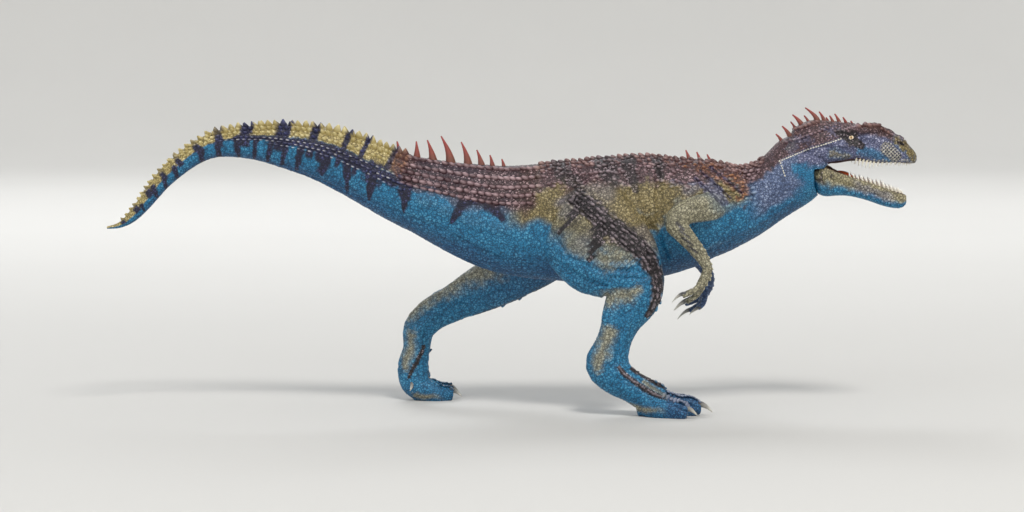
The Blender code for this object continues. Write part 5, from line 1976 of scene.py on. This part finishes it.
@dataclass
class Scutes:
    """Rows of scutes on tail, back, neck, head, thighs, feet and arms.

    Attributes:
        rows: The rows of the back.
        slanting: X and Z of the first and the last of a row above the shoulder, and their number.
        nodules: The same on the head, with a size for each row.
        line_gap: Distance between two scales of the pale line on the head.
        arm_spikes: How many spikes an arm has.
        arm_spike_rows: The arm's rows that bear the first and the last of them.
    """

    measures: Measures
    seed: int = 7
    line_gap: float = 0.72
    arm_spikes: int = 15
    arm_spike_rows: tuple[float, float] = (3.6, 9.8)
    rows: Sequence[ScuteRow] = field(
        default_factory=lambda: [
            ScuteRow(-126, -39, 8, 2.2, (2.6, 1.5, 2.0), ScuteForm.PLATE, 0.2),
            ScuteRow(-122, -38, 24, 1.8, (2.0, 1.7, 1.25), ScuteForm.PLATE, 0.15),
            ScuteRow(-118, -38, 42, 1.7, (1.8, 1.5, 0.75), ScuteForm.KEELED, 0.2),
            ScuteRow(-108, -38, 62, 1.8, (1.9, 1.0, 0.45), ScuteForm.KEELED, 0.1, 64),
            ScuteRow(-94, -37, 73, 1.8, (1.9, 1.0, 0.42), ScuteForm.KEELED, 0.1, 77),
            ScuteRow(-78, -36, 86, 1.8, (1.8, 1.0, 0.38), ScuteForm.KEELED, 0.1, 89),
            ScuteRow(-37, 8, 15, 2.35, (2.8, 2.1, 0.8), ScuteForm.KEELED, 0.06, 13),
            ScuteRow(-37, 9, 35, 2.35, (2.8, 2.1, 0.75), ScuteForm.KEELED, 0.06, 27),
            ScuteRow(-37, 9, 50, 2.35, (2.8, 2.0, 0.65), ScuteForm.KEELED, 0.06, 38),
            ScuteRow(-37, 8, 63, 2.35, (2.7, 1.9, 0.6), ScuteForm.KEELED, 0.06, 49),
            ScuteRow(-36, 6, 75, 2.35, (2.6, 1.6, 0.5), ScuteForm.KEELED, 0.06, 60),
            ScuteRow(10, 88, 4, 2.2, (2.2, 1.6, 1.0), ScuteForm.KEELED, 0.3),
            ScuteRow(10, 88, 11, 2.1, (1.9, 1.5, 0.75), ScuteForm.KEELED, 0.45),
            ScuteRow(10, 87, 18, 2.1, (1.8, 1.4, 0.7), ScuteForm.KEELED, 0.5),
            ScuteRow(11, 86, 25, 2.1, (1.8, 1.4, 0.6), ScuteForm.KEELED, 0.55),
            ScuteRow(12, 85, 32, 2.1, (1.7, 1.3, 0.55), ScuteForm.KEELED, 0.6),
            ScuteRow(14, 84, 39, 2.2, (1.6, 1.2, 0.5), ScuteForm.PEBBLE, 0.6),
            ScuteRow(24, 82, 46, 2.4, (1.5, 1.2, 0.4), ScuteForm.PEBBLE, 0.6),
            ScuteRow(52, 82, 45, 2.1, (1.8, 1.3, 0.55), ScuteForm.KEELED, 0.5),
            ScuteRow(57, 81, 53, 2.0, (1.8, 1.3, 0.6), ScuteForm.KEELED, 0.5),
            ScuteRow(62, 80, 61, 2.0, (1.8, 1.3, 0.6), ScuteForm.KEELED, 0.5),
            ScuteRow(68, 80, 69, 2.0, (1.7, 1.3, 0.55), ScuteForm.KEELED, 0.5),
            ScuteRow(70, 80, 77, 2.0, (1.7, 1.2, 0.5), ScuteForm.KEELED, 0.5),
            ScuteRow(71, 79, 85, 2.0, (1.6, 1.2, 0.45), ScuteForm.KEELED, 0.5),
        ]
    )
    tail_sizes: Rows = ((-128.0, 0.42), (-112.0, 0.6), (-92.0, 0.85), (-60.0, 1.0))
    slanting: Sequence[tuple[Row, Row, int]] = (
        ((60.6, 76.4), (69.9, 67.4), 8), ((62.7, 78.2), (72.6, 69.2), 9),
        ((66.2, 79.6), (75.6, 71.2), 8),
    )
    nodules: Sequence[tuple[Row, Row, int, float]] = (
        ((105.6, 91.6), (112.4, 92.8), 7, 1.0), ((113.0, 93.0), (119.6, 93.6), 6, 1.4),
        ((120.6, 92.4), (130.0, 87.4), 9, 1.0), ((107.4, 87.2), (113.6, 86.8), 7, 0.7),
        ((90.0, 88.0), (103.0, 92.6), 11, 1.1), ((88.0, 90.6), (100.0, 94.6), 10, 1.2),
    )

    def along_back(self, surface: BVHTree, maps: Maps) -> Iterator[Shape]:
        """Stands the rows of the back on the skin.

        Args:
            surface: The skin in millimetres.
            maps: Where the spine runs.

        Yields:
            The shape of each scute.
        """
        chance = random.Random(self.seed)
        body = maps.body
        for row in self.rows:
            first = float(np.interp(row.start, body.x, body.arc))
            last = float(np.interp(row.end, body.x, body.arc))
            count = max(2, round((last - first) / row.spacing))
            final = row.angle if row.end_angle is None else row.end_angle
            for i in range(count):
                for side in Side:
                    share = (i + (chance.random() - 0.5) * row.scatter) / (count - 1)
                    station = float(np.interp(first + (last - first) * share, body.arc, body.x))
                    angle = row.angle + (final - row.angle) * share
                    angle = math.radians(angle + (chance.random() - 0.5) * row.scatter * 14)
                    centre, along, up = body.frame_at(station)
                    ray = up * math.cos(angle) + Vector((0, side.value, 0)) * math.sin(angle)
                    hit, normal = cast(surface, centre, ray)
                    if hit is None:
                        continue
                    uneven = (chance.random() - 0.5) * (0.15 + 0.6 * row.scatter)
                    grow = float(value_at(self.tail_sizes, station)) * (1.0 + uneven)
                    size = tuple(value * grow for value in row.size)
                    tone = 0.55 + 0.45 * chance.random()
                    yield scute(hit, normal, -along, size, row.form, tone)

    def from_aside(
        self, surface: BVHTree, start: Row, end: Row, count: int, size: Row, form: ScuteForm
    ) -> Iterator[Shape]:
        """Stands a row of scutes on both sides, along a line drawn in the side view.

        Args:
            surface: The skin in millimetres.
            start: X and Z of the first.
            end: X and Z of the last.
            count: How many there are on a side.
            size: Length, width and height.
            form: Their shape.

        Yields:
            The shape of each scute.
        """
        chance = random.Random(self.seed + count)
        first, last = Vector((start[0], 0, start[1])), Vector((end[0], 0, end[1]))
        for i in range(count):
            for side in Side:
                outward = Vector((0, side.value, 0))
                place = first.lerp(last, (i + 0.2 * (chance.random() - 0.5)) / (count - 1))
                hit, normal = cast(surface, place, outward)
                if hit is None:
                    continue
                grow = 0.85 + 0.3 * chance.random()
                sizes = tuple(value * grow for value in size)
                yield scute(hit, normal, first - last, sizes, form, 0.6 + 0.4 * chance.random())

    def on_neck(self, surface: BVHTree) -> Iterator[Shape]:
        """Slanting rows above the shoulder."""
        size = (1.7, 1.1, 0.5)
        for start, end, count in self.slanting:
            yield from self.from_aside(surface, start, end, count, size, ScuteForm.KEELED)

    def on_head(self, surface: BVHTree) -> Iterator[Shape]:
        """Nodules along the brow, the snout's ridge and the nape."""
        for start, end, count, size in self.nodules:
            sizes = (1.5 * size, 1.15 * size, 0.75 * size)
            yield from self.from_aside(surface, start, end, count, sizes, ScuteForm.KEELED)

    def white_line(self, surface: BVHTree, work: BrushWork) -> Iterator[Shape]:
        """Small white scales from the throat up and forward to the eye."""
        size = (self.line_gap, 0.5, 0.26)
        for start, end in zip(work.white_line, work.white_line[1:]):
            count = max(3, round(math.dist(start, end) / self.line_gap))
            yield from self.from_aside(surface, start, end, count, size, ScuteForm.PEBBLE)

    def lattice(
        self, stroke: Stroke, step: float, lane: float, chance: random.Random
    ) -> Iterator[tuple[float, float, float, float]]:
        """Fills a stroke with places in staggered lanes, each a little off its own place.

        Args:
            stroke: The stroke on a limb's flat map.
            step: Distance between two places of a lane.
            lane: Distance between two lanes.
            chance: What puts the places off.

        Yields:
            A place on the map, and the stroke's direction there.
        """
        lanes = round(max(stroke.widths) / lane)
        for (au, av), (bu, bv) in zip(stroke.points, stroke.points[1:]):
            du, dv = bu - au, bv - av
            length = math.hypot(du, dv)
            for i in range(max(1, round(length / step))):
                for k in range(-lanes, lanes + 1):
                    share = (i + 0.5 * (k % 2) + 0.25 * chance.random()) * step / length
                    off = lane * (k + 0.3 * (chance.random() - 0.5))
                    u = au + du * share - dv / length * off
                    v = av + dv * share + du / length * off
                    if stroke.cover(np.array([u]), np.array([v]))[0] >= 0.4:
                        yield u, v, du, dv

    def on_legs(
        self, surface: BVHTree, maps: Maps, work: BrushWork
    ) -> Iterator[Shape]:
        """Raises larger scales inside the thigh's dark band and down the feet's long bones.

        Args:
            surface: The skin in millimetres.
            maps: Where the legs run.
            work: Where the dark bands lie.

        Yields:
            The shape of each scale.
        """
        chance = random.Random(self.seed + 1)
        laid = [maps.on_leg(stroke, Side.RIGHT) for stroke in (work.thigh_band, *work.shin_rows)]
        for side in Side:
            leg = maps.legs[side]
            outward = Vector((0, side.value, 0))
            for stroke in laid:
                broad = max(stroke.widths) > 2.0
                step, lane, scale = (1.9, 1.45, 1.0) if broad else (1.35, 1.1, 0.72)
                for u, v, du, dv in self.lattice(stroke, step, lane, chance):
                    index = min(len(leg.centres) - 1, max(1, int(u / ROW_LENGTH * leg.STEPS)))
                    front = Vector((leg.front[index][0], 0, leg.front[index][1]))
                    hit, normal = cast(surface, Vector(leg.centres[index]) + front * v, outward)
                    if hit is None or abs(hit.y) < 4.0:
                        continue
                    down = Vector((front.z, 0, -front.x)) * du + front * dv
                    grow = (0.8 + 0.35 * chance.random()) * scale
                    sizes = (2.0 * grow, 1.35 * grow, 0.62 * grow)
                    tone = 0.5 + 0.5 * chance.random()
                    yield scute(hit, normal, down, sizes, ScuteForm.KEELED, tone)

    def on_toes(self, surface: BVHTree) -> Iterator[Shape]:
        """Broad scutes across the top of each toe."""
        up = Vector((0, 0, 1))
        for side in Side:
            for toe in self.measures.toes_of(side):
                rows = smooth_rows(toe[1:], 3)
                for before, row in zip(rows, rows[1:]):
                    along = (Vector(row[:3]) - Vector(before[:3])).normalized()
                    hit, normal = cast(surface, Vector(row[:3]), up, 20.0)
                    if hit is not None:
                        size = (1.4, 1.5 * row[3], 0.45)
                        yield scute(hit, normal, along, size, ScuteForm.PEBBLE)

    def on_arms(self, surface: BVHTree, maps: Maps) -> Iterator[Shape]:
        """Short spikes down the outer edge of forearm and hand."""
        for side in Side:
            arm = maps.arms[side]
            for row in np.linspace(*self.arm_spike_rows, self.arm_spikes):
                index = round(row * arm.STEPS)
                front = arm.front[index]
                ray = Vector((front[0], 0.5 * side.value, front[1])).normalized()
                hit, normal = cast(surface, Vector(arm.centres[index]), ray, 4.5)
                if hit is not None:
                    down = Vector((front[1], 0, -front[0]))
                    yield scute(hit, normal, down, (1.2, 0.7, 0.5), ScuteForm.KEELED)

    def build(
        self, surface: BVHTree, head: BVHTree, maps: Maps, painter: Painter, finishes: Finishes
    ) -> None:
        """Makes and paints all scutes.

        Args:
            surface: The skin of trunk and limbs, in millimetres.
            head: The skin of the head.
            maps: Where each place lies on the animal.
            painter: Writes the paints' masks.
            finishes: The materials.
        """
        work = painter.work
        own_paints = {"toe_scutes": ("paint_dark", 0.6), "head_line_scales": ("paint_bone", 1.0)}
        for name, zone, shapes in (
            ("back_scutes", Zone.BODY, self.along_back(surface, maps)),
            ("neck_scutes", Zone.BODY, self.on_neck(surface)),
            ("leg_scutes", Zone.BODY, self.on_legs(surface, maps, work)),
            ("toe_scutes", Zone.BODY, self.on_toes(surface)),
            ("arm_scutes", Zone.BODY, self.on_arms(surface, maps)),
            ("head_scutes", Zone.HEAD, self.on_head(head)),
            ("head_line_scales", Zone.HEAD, self.white_line(head, work)),
        ):
            obj = add_object(name, joined(shapes))
            painter.apply(obj.data, zone)
            count = len(obj.data.vertices)
            write_values(obj.data, "bare", np.ones(count))
            if name == "back_scutes":
                self.paint_back(obj.data, maps)
            elif name in own_paints:
                paint, share = own_paints[name]
                write_values(obj.data, paint, np.full(count, share))
            hand_in(obj, finishes.skin)

    def paint_back(self, mesh: bpy.types.Mesh, maps: Maps) -> None:
        """Gives the rows of the tail their own colours."""
        points = read_points(mesh)
        station, height, _ = maps.body.locate(points)
        middle = grain(points, 3.0, 2.0)
        base = window(-36.5, 7.0, station, 1.5)
        write_values(mesh, "paint_plum", base * smooth(0.15, 0.25, height) * 0.95)
        warm = (0.25 + 0.3 * base) * smooth(0.82, 0.95, height + 0.05 * middle)
        warm = warm * smooth(-37.0, -34.0, station)
        write_values(mesh, "paint_ember", np.maximum(read_values(mesh, "paint_ember"), warm))
        # Pale bone on the tops of the tail's darker scutes: dry brush, which also paints highlights
        relief = read_values(mesh, "relief")
        tail = 1.0 - smooth(-40.5, -38.5, station)
        pale_scute_tops = tail * (1.0 - read_values(mesh, "paint_gold")) * smooth(0.5, 0.8, relief)
        bone = 0.5 * pale_scute_tops * (height < 0.72)
        write_values(mesh, "paint_bone", np.maximum(read_values(mesh, "paint_bone"), bone))


@dataclass
class Horns:
    """Red spines of crest, tail and shoulders, and the claws."""

    measures: Measures
    spines: Sequence[tuple[Row, Row, float, float]] = (
        ((88.8, -0.8, 87.8), (86.6, -1.0, 90.6), 0.9, 0.3),
        ((91.2, -0.8, 89.8), (88.6, -1.0, 93.2), 1.1, 0.4),
        ((93.4, 0.8, 91.4), (91.6, 1.2, 94.6), 0.9, 0.3),
        ((95.4, -0.6, 92.8), (92.0, -0.6, 96.9), 1.3, 0.6),
        ((97.6, 0.9, 93.8), (96.0, 1.3, 96.6), 0.9, 0.3),
        ((99.6, -0.3, 94.3), (96.2, -0.2, 99.2), 1.5, 1.3),
        ((102.2, 0.1, 94.4), (100.8, 0.2, 97.9), 1.2, 0.5),
        ((104.0, 1.0, 94.0), (103.2, 1.2, 96.0), 0.8, 0.2),
        ((105.2, -0.2, 94.0), (104.2, -0.2, 96.6), 1.0, 0.3),
        ((107.3, 0.2, 93.8), (105.9, 0.2, 97.2), 1.1, 0.4),
        ((109.7, -0.1, 93.6), (108.6, -0.1, 96.1), 1.0, 0.2),
        ((111.8, 0.3, 93.4), (111.2, 0.4, 94.9), 0.8, 0.1),
        ((-36.6, -0.3, 83.2), (-37.3, -0.3, 88.2), 2.0, 0.2),
        ((-31.0, -0.1, 81.8), (-31.0, -0.1, 88.2), 2.1, 0.2),
        ((-25.8, 0.0, 81.2), (-27.4, 0.0, 88.6), 2.2, 0.5),
        ((-20.2, 0.0, 80.6), (-22.9, 0.0, 89.9), 2.3, 0.9),
        ((-14.4, 0.0, 80.3), (-16.3, 0.0, 88.0), 2.0, 0.6),
        ((-9.8, 0.0, 80.0), (-11.2, 0.0, 85.4), 1.7, 0.3),
        ((-6.2, 0.0, 79.7), (-6.9, 0.0, 83.7), 1.4, 0.2),
        ((-2.4, 0.0, 79.7), (-3.0, 0.0, 82.4), 1.1, 0.1),
        ((58.4, 2.2, 81.8), (57.4, 2.6, 85.2), 1.3, 0.2),
        ((62.2, 2.4, 80.8), (61.0, 2.8, 84.6), 1.3, 0.2),
        ((65.6, 2.2, 80.0), (64.4, 2.6, 83.8), 1.3, 0.3),
        ((69.6, 2.0, 78.4), (68.6, 2.4, 81.8), 1.2, 0.2),
    )
    foot_claws: Sequence[tuple[Row, Row, float, float]] = (
        ((57.8, -8.8, 3.0), (62.2, -8.0, 1.0), 1.3, 0.9),
        ((60.8, -17.0, 3.2), (65.4, -17.3, 1.0), 1.4, 1.0),
        ((56.0, -24.0, 2.9), (60.0, -25.0, 1.0), 1.25, 0.9),
        ((37.0, -11.8, 7.0), (36.4, -10.0, 4.0), 1.1, 0.4),
        ((-20.4, 20.8, 2.9), (-16.5, 22.0, 0.9), 1.2, 0.9),
        ((-20.8, 27.2, 3.1), (-17.5, 29.6, 0.9), 1.3, 1.0),
        ((-25.6, 30.6, 2.7), (-23.8, 33.0, 0.9), 1.1, 0.8),
        ((-33.6, 18.2, 6.2), (-34.0, 16.8, 3.6), 1.0, 0.4),
    )
    hand_claws: Sequence[tuple[Row, Row, float, float]] = (
        ((55.8, -17.3, 39.2), (51.9, -17.2, 36.8), 0.85, 0.9),
        ((57.0, -14.8, 37.0), (52.6, -14.8, 34.0), 0.85, 0.8),
        ((59.6, -12.3, 38.0), (56.4, -12.2, 35.8), 0.75, 0.5),
    )

    def build(self, finishes: Finishes) -> None:
        """Makes the spines and the claws."""
        spines = [horn(*row, slimming=1.25, blunt=0.22) for row in self.spines]
        hand_in(add_object("spines", joined(spines)), finishes.spine)
        claws = [horn(*row) for row in self.foot_claws]
        for side in Side:
            for root, tip, radius, bow in self.hand_claws:
                ends = (self.measures.arm_row(root, side), self.measures.arm_row(tip, side))
                claws.append(horn(*ends, radius, bow))
        hand_in(add_object("claws", joined(claws)), finishes.claw)


@dataclass
class Mouth:
    """Teeth and gums of both jaws.

    Attributes:
        upper: X of each upper tooth and its length, from the back to the snout.
        lower: The same for the lower teeth.
        radius: Half width of a tooth's root.
        sunk: How deep a root stands in the jaw's skin.
        lower_inset: How far the lower teeth stand in from the jaw's side.
        upper_inset: The same in the skull.
        gum_radius: Half width of the gum.
        gum_sunk: How deep its middle lies in the skin.
    """

    measures: Measures
    upper: Rows = (
        (112.6, 0.7), (113.8, 1.2), (115.0, 1.6), (116.2, 1.8), (117.4, 1.9), (118.6, 1.5),
        (119.9, 1.0), (121.3, 1.2), (122.8, 0.8), (124.2, 1.0), (125.6, 0.7), (127.0, 0.9),
        (128.4, 0.6), (129.6, 0.8), (130.8, 0.5),
    )
    lower: Rows = (
        (110.8, 0.9), (112.2, 1.2), (113.6, 1.0), (115.0, 1.4), (116.4, 1.2), (117.8, 1.6),
        (119.2, 1.3), (120.6, 1.9), (122.1, 2.1), (123.5, 1.5), (124.8, 1.8), (126.1, 1.6),
        (127.3, 1.7), (128.3, 1.3),
    )
    radius: float = 0.54
    sunk: float = 0.6
    lower_inset: float = 1.1
    upper_inset: float = 1.7
    gum_radius: float = 0.4
    gum_sunk: float = 0.25

    def inward(self, profile: Rows, x: float, sign: float) -> float:
        """Distance of a jaw's teeth from the middle plane at x."""
        return value_at(profile, x) - (self.lower_inset if sign > 0 else self.upper_inset)

    def row(self, teeth: Rows, profile: Rows, sign: float) -> list[Shape]:
        """The teeth of one jaw, on both sides.

        Args:
            teeth: X and length of each tooth.
            profile: The jaw's rows.
            sign: 1 for teeth that point up, -1 for down.

        Returns:
            A closed shape for each tooth.
        """
        made = []
        for x, length in teeth:
            y = self.inward(profile, x, sign)
            z = value_at(profile, x, 3 if sign > 0 else 2)
            for side in Side:
                root = (x, side.value * y, edge_at(profile, x, y, sign) - sign * self.sunk)
                tip = (x - 0.35 - 0.15 * length, side.value * (y - 0.15), z + sign * length)
                made.append(horn(root, tip, self.radius, 0.0, 8, 4, 0.75, 0.08))
        return made

    def gums(self, teeth: Rows, profile: Rows, sign: float) -> list[Shape]:
        """A low ridge of gum that each side's teeth stand in."""
        made = []
        for side in Side:
            rows = []
            for x, _ in teeth:
                y = self.inward(profile, x, sign)
                z = edge_at(profile, x, y, sign) - sign * self.gum_sunk
                rows.append((x, side.value * y, z, self.gum_radius, self.gum_radius))
            made.append(loft(line_sections(rows, 2), 12))
        return made

    def build(self, finishes: Finishes) -> None:
        """Makes the two rows of teeth and their gums."""
        above = (self.upper, self.measures.skull, -1.0)
        below = (self.lower, self.measures.jaw, 1.0)
        made = (("teeth", self.row, finishes.tooth), ("gums", self.gums, finishes.gum))
        for name, make, finish in made:
            hand_in(add_object("upper_" + name, joined(make(*above))), finish)
            hand_in(add_object("lower_" + name, joined(make(*below))), finish, "jaw")


@dataclass
class Eyes:
    """The two eyeballs and their lids."""

    centre: Row = (110.5, 5.7, 89.7)
    radius: float = 1.4
    lid_radius: float = 0.3
    lid_ring: float = 1.32

    def build(self, finishes: Finishes) -> None:
        """Makes both eyes with iris and slit, and a lid round each."""
        balls, lids = bmesh.new(), bmesh.new()
        ring = balls.verts.layers.float.new("relief")
        slit = balls.verts.layers.float.new("slit")
        lids.verts.layers.float.new("relief")
        for side in Side:
            centre = Vector((self.centre[0], side.value * self.centre[1], self.centre[2]))
            made = bmesh.ops.create_uvsphere(
                balls,
                u_segments=48,
                v_segments=32,
                radius=self.radius * MM,
                matrix=Matrix.Translation(centre * MM) @ Matrix.Rotation(math.pi / 2, 4, "X"),
            )
            for vert in made["verts"]:
                offset = (vert.co / MM - centre) / self.radius
                facing = max(0.0, offset.y * side.value)
                vert[ring] = min(1.0, math.hypot(offset.x, offset.z)) if facing > 0 else 1.0
                narrow = abs(offset.x) / 0.13 + abs(offset.z) / 0.5
                vert[slit] = 1.0 if facing > 0 and narrow < 1.0 else 0.0
            out = centre + Vector((0, side.value * 0.7, 0))
            self.lid(lids, out, side)
        hand_in(add_object("eyes", balls), finishes.eye)
        hand_in(add_object("eyelids", lids), finishes.claw)

    def lid(self, bm: Shape, centre: Vector, side: Side) -> None:
        """A closed ring round the eyeball, spun from a small circle."""
        start = centre + Vector((self.lid_ring, 0, 0))
        circle = bmesh.ops.create_circle(
            bm,
            radius=self.lid_radius * MM,
            segments=10,
            matrix=Matrix.Translation(start * MM) @ Matrix.Rotation(math.pi / 2, 4, "X"),
        )
        turn = Matrix.Rotation(math.pi / 2, 4, "Z")
        bmesh.ops.rotate(bm, cent=start * MM, matrix=turn, verts=circle["verts"])
        edges = list({edge for vert in circle["verts"] for edge in vert.link_edges})
        spin_round(bm, circle["verts"] + edges, centre * MM, (0, side.value, 0), 32)
        bmesh.ops.recalc_face_normals(bm, faces=bm.faces)


@dataclass
class Studio:
    """Pale floor with a raised rim, soft lights and the camera."""

    floor_radius: float = 2.6
    rim_height: float = 2.2
    bend_radius: float = 0.9
    look_at: Row = (0.33, 0.0, 50.2)
    distance_mm: float = 900.0
    elevation_deg: float = 4.6
    lens_mm: float = 95.9
    floor_colours: tuple[str, str] = ("#C9C8C5", "#CFCECB")

    def floor(self) -> None:
        """Spins a floor whose rim curves up out of sight, so that no horizon shows."""
        bm = bmesh.new()
        flat = self.floor_radius - self.bend_radius
        profile = [(0.0, 0.0), (flat, 0.0)]
        for i in range(1, 13):
            angle = math.pi / 2 * i / 12
            out, up = math.sin(angle), 1 - math.cos(angle)
            profile.append((flat + self.bend_radius * out, self.bend_radius * up))
        profile.append((self.floor_radius, self.rim_height))
        verts = [bm.verts.new((x, 0, z)) for x, z in profile]
        edges = [bm.edges.new(pair) for pair in zip(verts, verts[1:])]
        spin_round(bm, verts + edges, Vector((0, 0, 0)), (0, 0, 1), 96)
        bmesh.ops.remove_doubles(bm, verts=bm.verts, dist=1e-6)
        bmesh.ops.recalc_face_normals(bm, faces=bm.faces)
        bmesh.ops.reverse_faces(bm, faces=bm.faces)
        floor = add_object("studio_floor", bm)
        material, tree, shader = new_material("matt_card_floor")
        place = add_node(tree, "ShaderNodeTexCoord").outputs["Object"]
        tone = mixed(
            tree, cloud(tree, place, 3.0, 2.0), *(linear(code) for code in self.floor_colours)
        )
        tree.links.new(tone, shader.inputs["Base Color"])
        shader.inputs["Roughness"].default_value = 0.9
        floor.data.materials.append(material)

    def light(
        self, name: str, place: Row, aim: Row, size: float, power: float, colour: Row
    ) -> None:
        """A square soft light that itself stays out of the picture."""
        data = bpy.data.lights.new(name, "AREA")
        data.size = size
        data.energy = power
        data.color = colour
        obj = bpy.data.objects.new(name, data)
        obj.location = place
        obj.rotation_euler = (Vector(aim) - Vector(place)).to_track_quat("-Z", "Y").to_euler()
        obj.visible_camera = False
        bpy.context.scene.collection.objects.link(obj)

    def build(self) -> None:
        """Makes floor, lights, sky and camera."""
        self.floor()
        figurine = (0.0, 0.0, 0.05)
        self.light("key", (0.45, -1.0, 1.5), figurine, 0.45, 20.0, (1.0, 0.97, 0.93))
        self.light("fill", (-1.3, -1.0, 0.6), figurine, 0.9, 4.5, (0.88, 0.94, 1.0))
        self.light("rim", (-0.2, 1.1, 1.2), figurine, 0.7, 9.0, (0.95, 0.97, 1.0))
        for turn in range(4):
            angle = math.pi / 4 + math.pi / 2 * turn
            start = (0.8 * math.cos(angle), 0.8 * math.sin(angle), 1.5)
            aim = (self.floor_radius * math.cos(angle), self.floor_radius * math.sin(angle), 0.6)
            self.light("backdrop_" + str(turn), start, aim, 1.0, 16.0, (1.0, 1.0, 1.0))
        world = bpy.data.worlds.new("studio_sky")
        world.use_nodes = True
        world.node_tree.nodes["Background"].inputs["Color"].default_value = linear("#E9EDF2")
        world.node_tree.nodes["Background"].inputs["Strength"].default_value = 0.42
        bpy.context.scene.world = world
        bpy.context.scene.view_settings.view_transform = "Standard"
        camera = bpy.data.cameras.new("camera")
        camera.lens = self.lens_mm
        camera.sensor_width = 36.0
        camera.clip_start, camera.clip_end = 0.05, 20.0
        obj = bpy.data.objects.new("camera", camera)
        tilt = math.radians(self.elevation_deg)
        back = Vector((0, -math.cos(tilt), math.sin(tilt)))
        obj.location = (Vector(self.look_at) + back * self.distance_mm) * MM
        obj.rotation_euler = (-back).to_track_quat("-Z", "Y").to_euler()
        bpy.context.scene.collection.objects.link(obj)
        bpy.context.scene.camera = obj


def main() -> None:
    """Builds every piece in order."""
    logging.basicConfig(level=logging.INFO, format="%(name)s: %(message)s")
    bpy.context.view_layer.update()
    measures = Measures()
    maps = Maps(measures)
    painter = Painter(maps, BrushWork())
    finishes = Finishes()
    skin = Skin(measures)
    surface = skin.build(maps, painter, finishes)
    jaw = Jaw(measures)
    head = Head(measures, jaw).build(skin.neck_cut, painter, finishes)
    jaw.build(painter, finishes)
    Scutes(measures).build(surface, head, maps, painter, finishes)
    Horns(measures).build(finishes)
    Mouth(measures).build(finishes)
    Eyes().build(finishes)
    Studio().build()


if __name__ == "__main__":
    main()
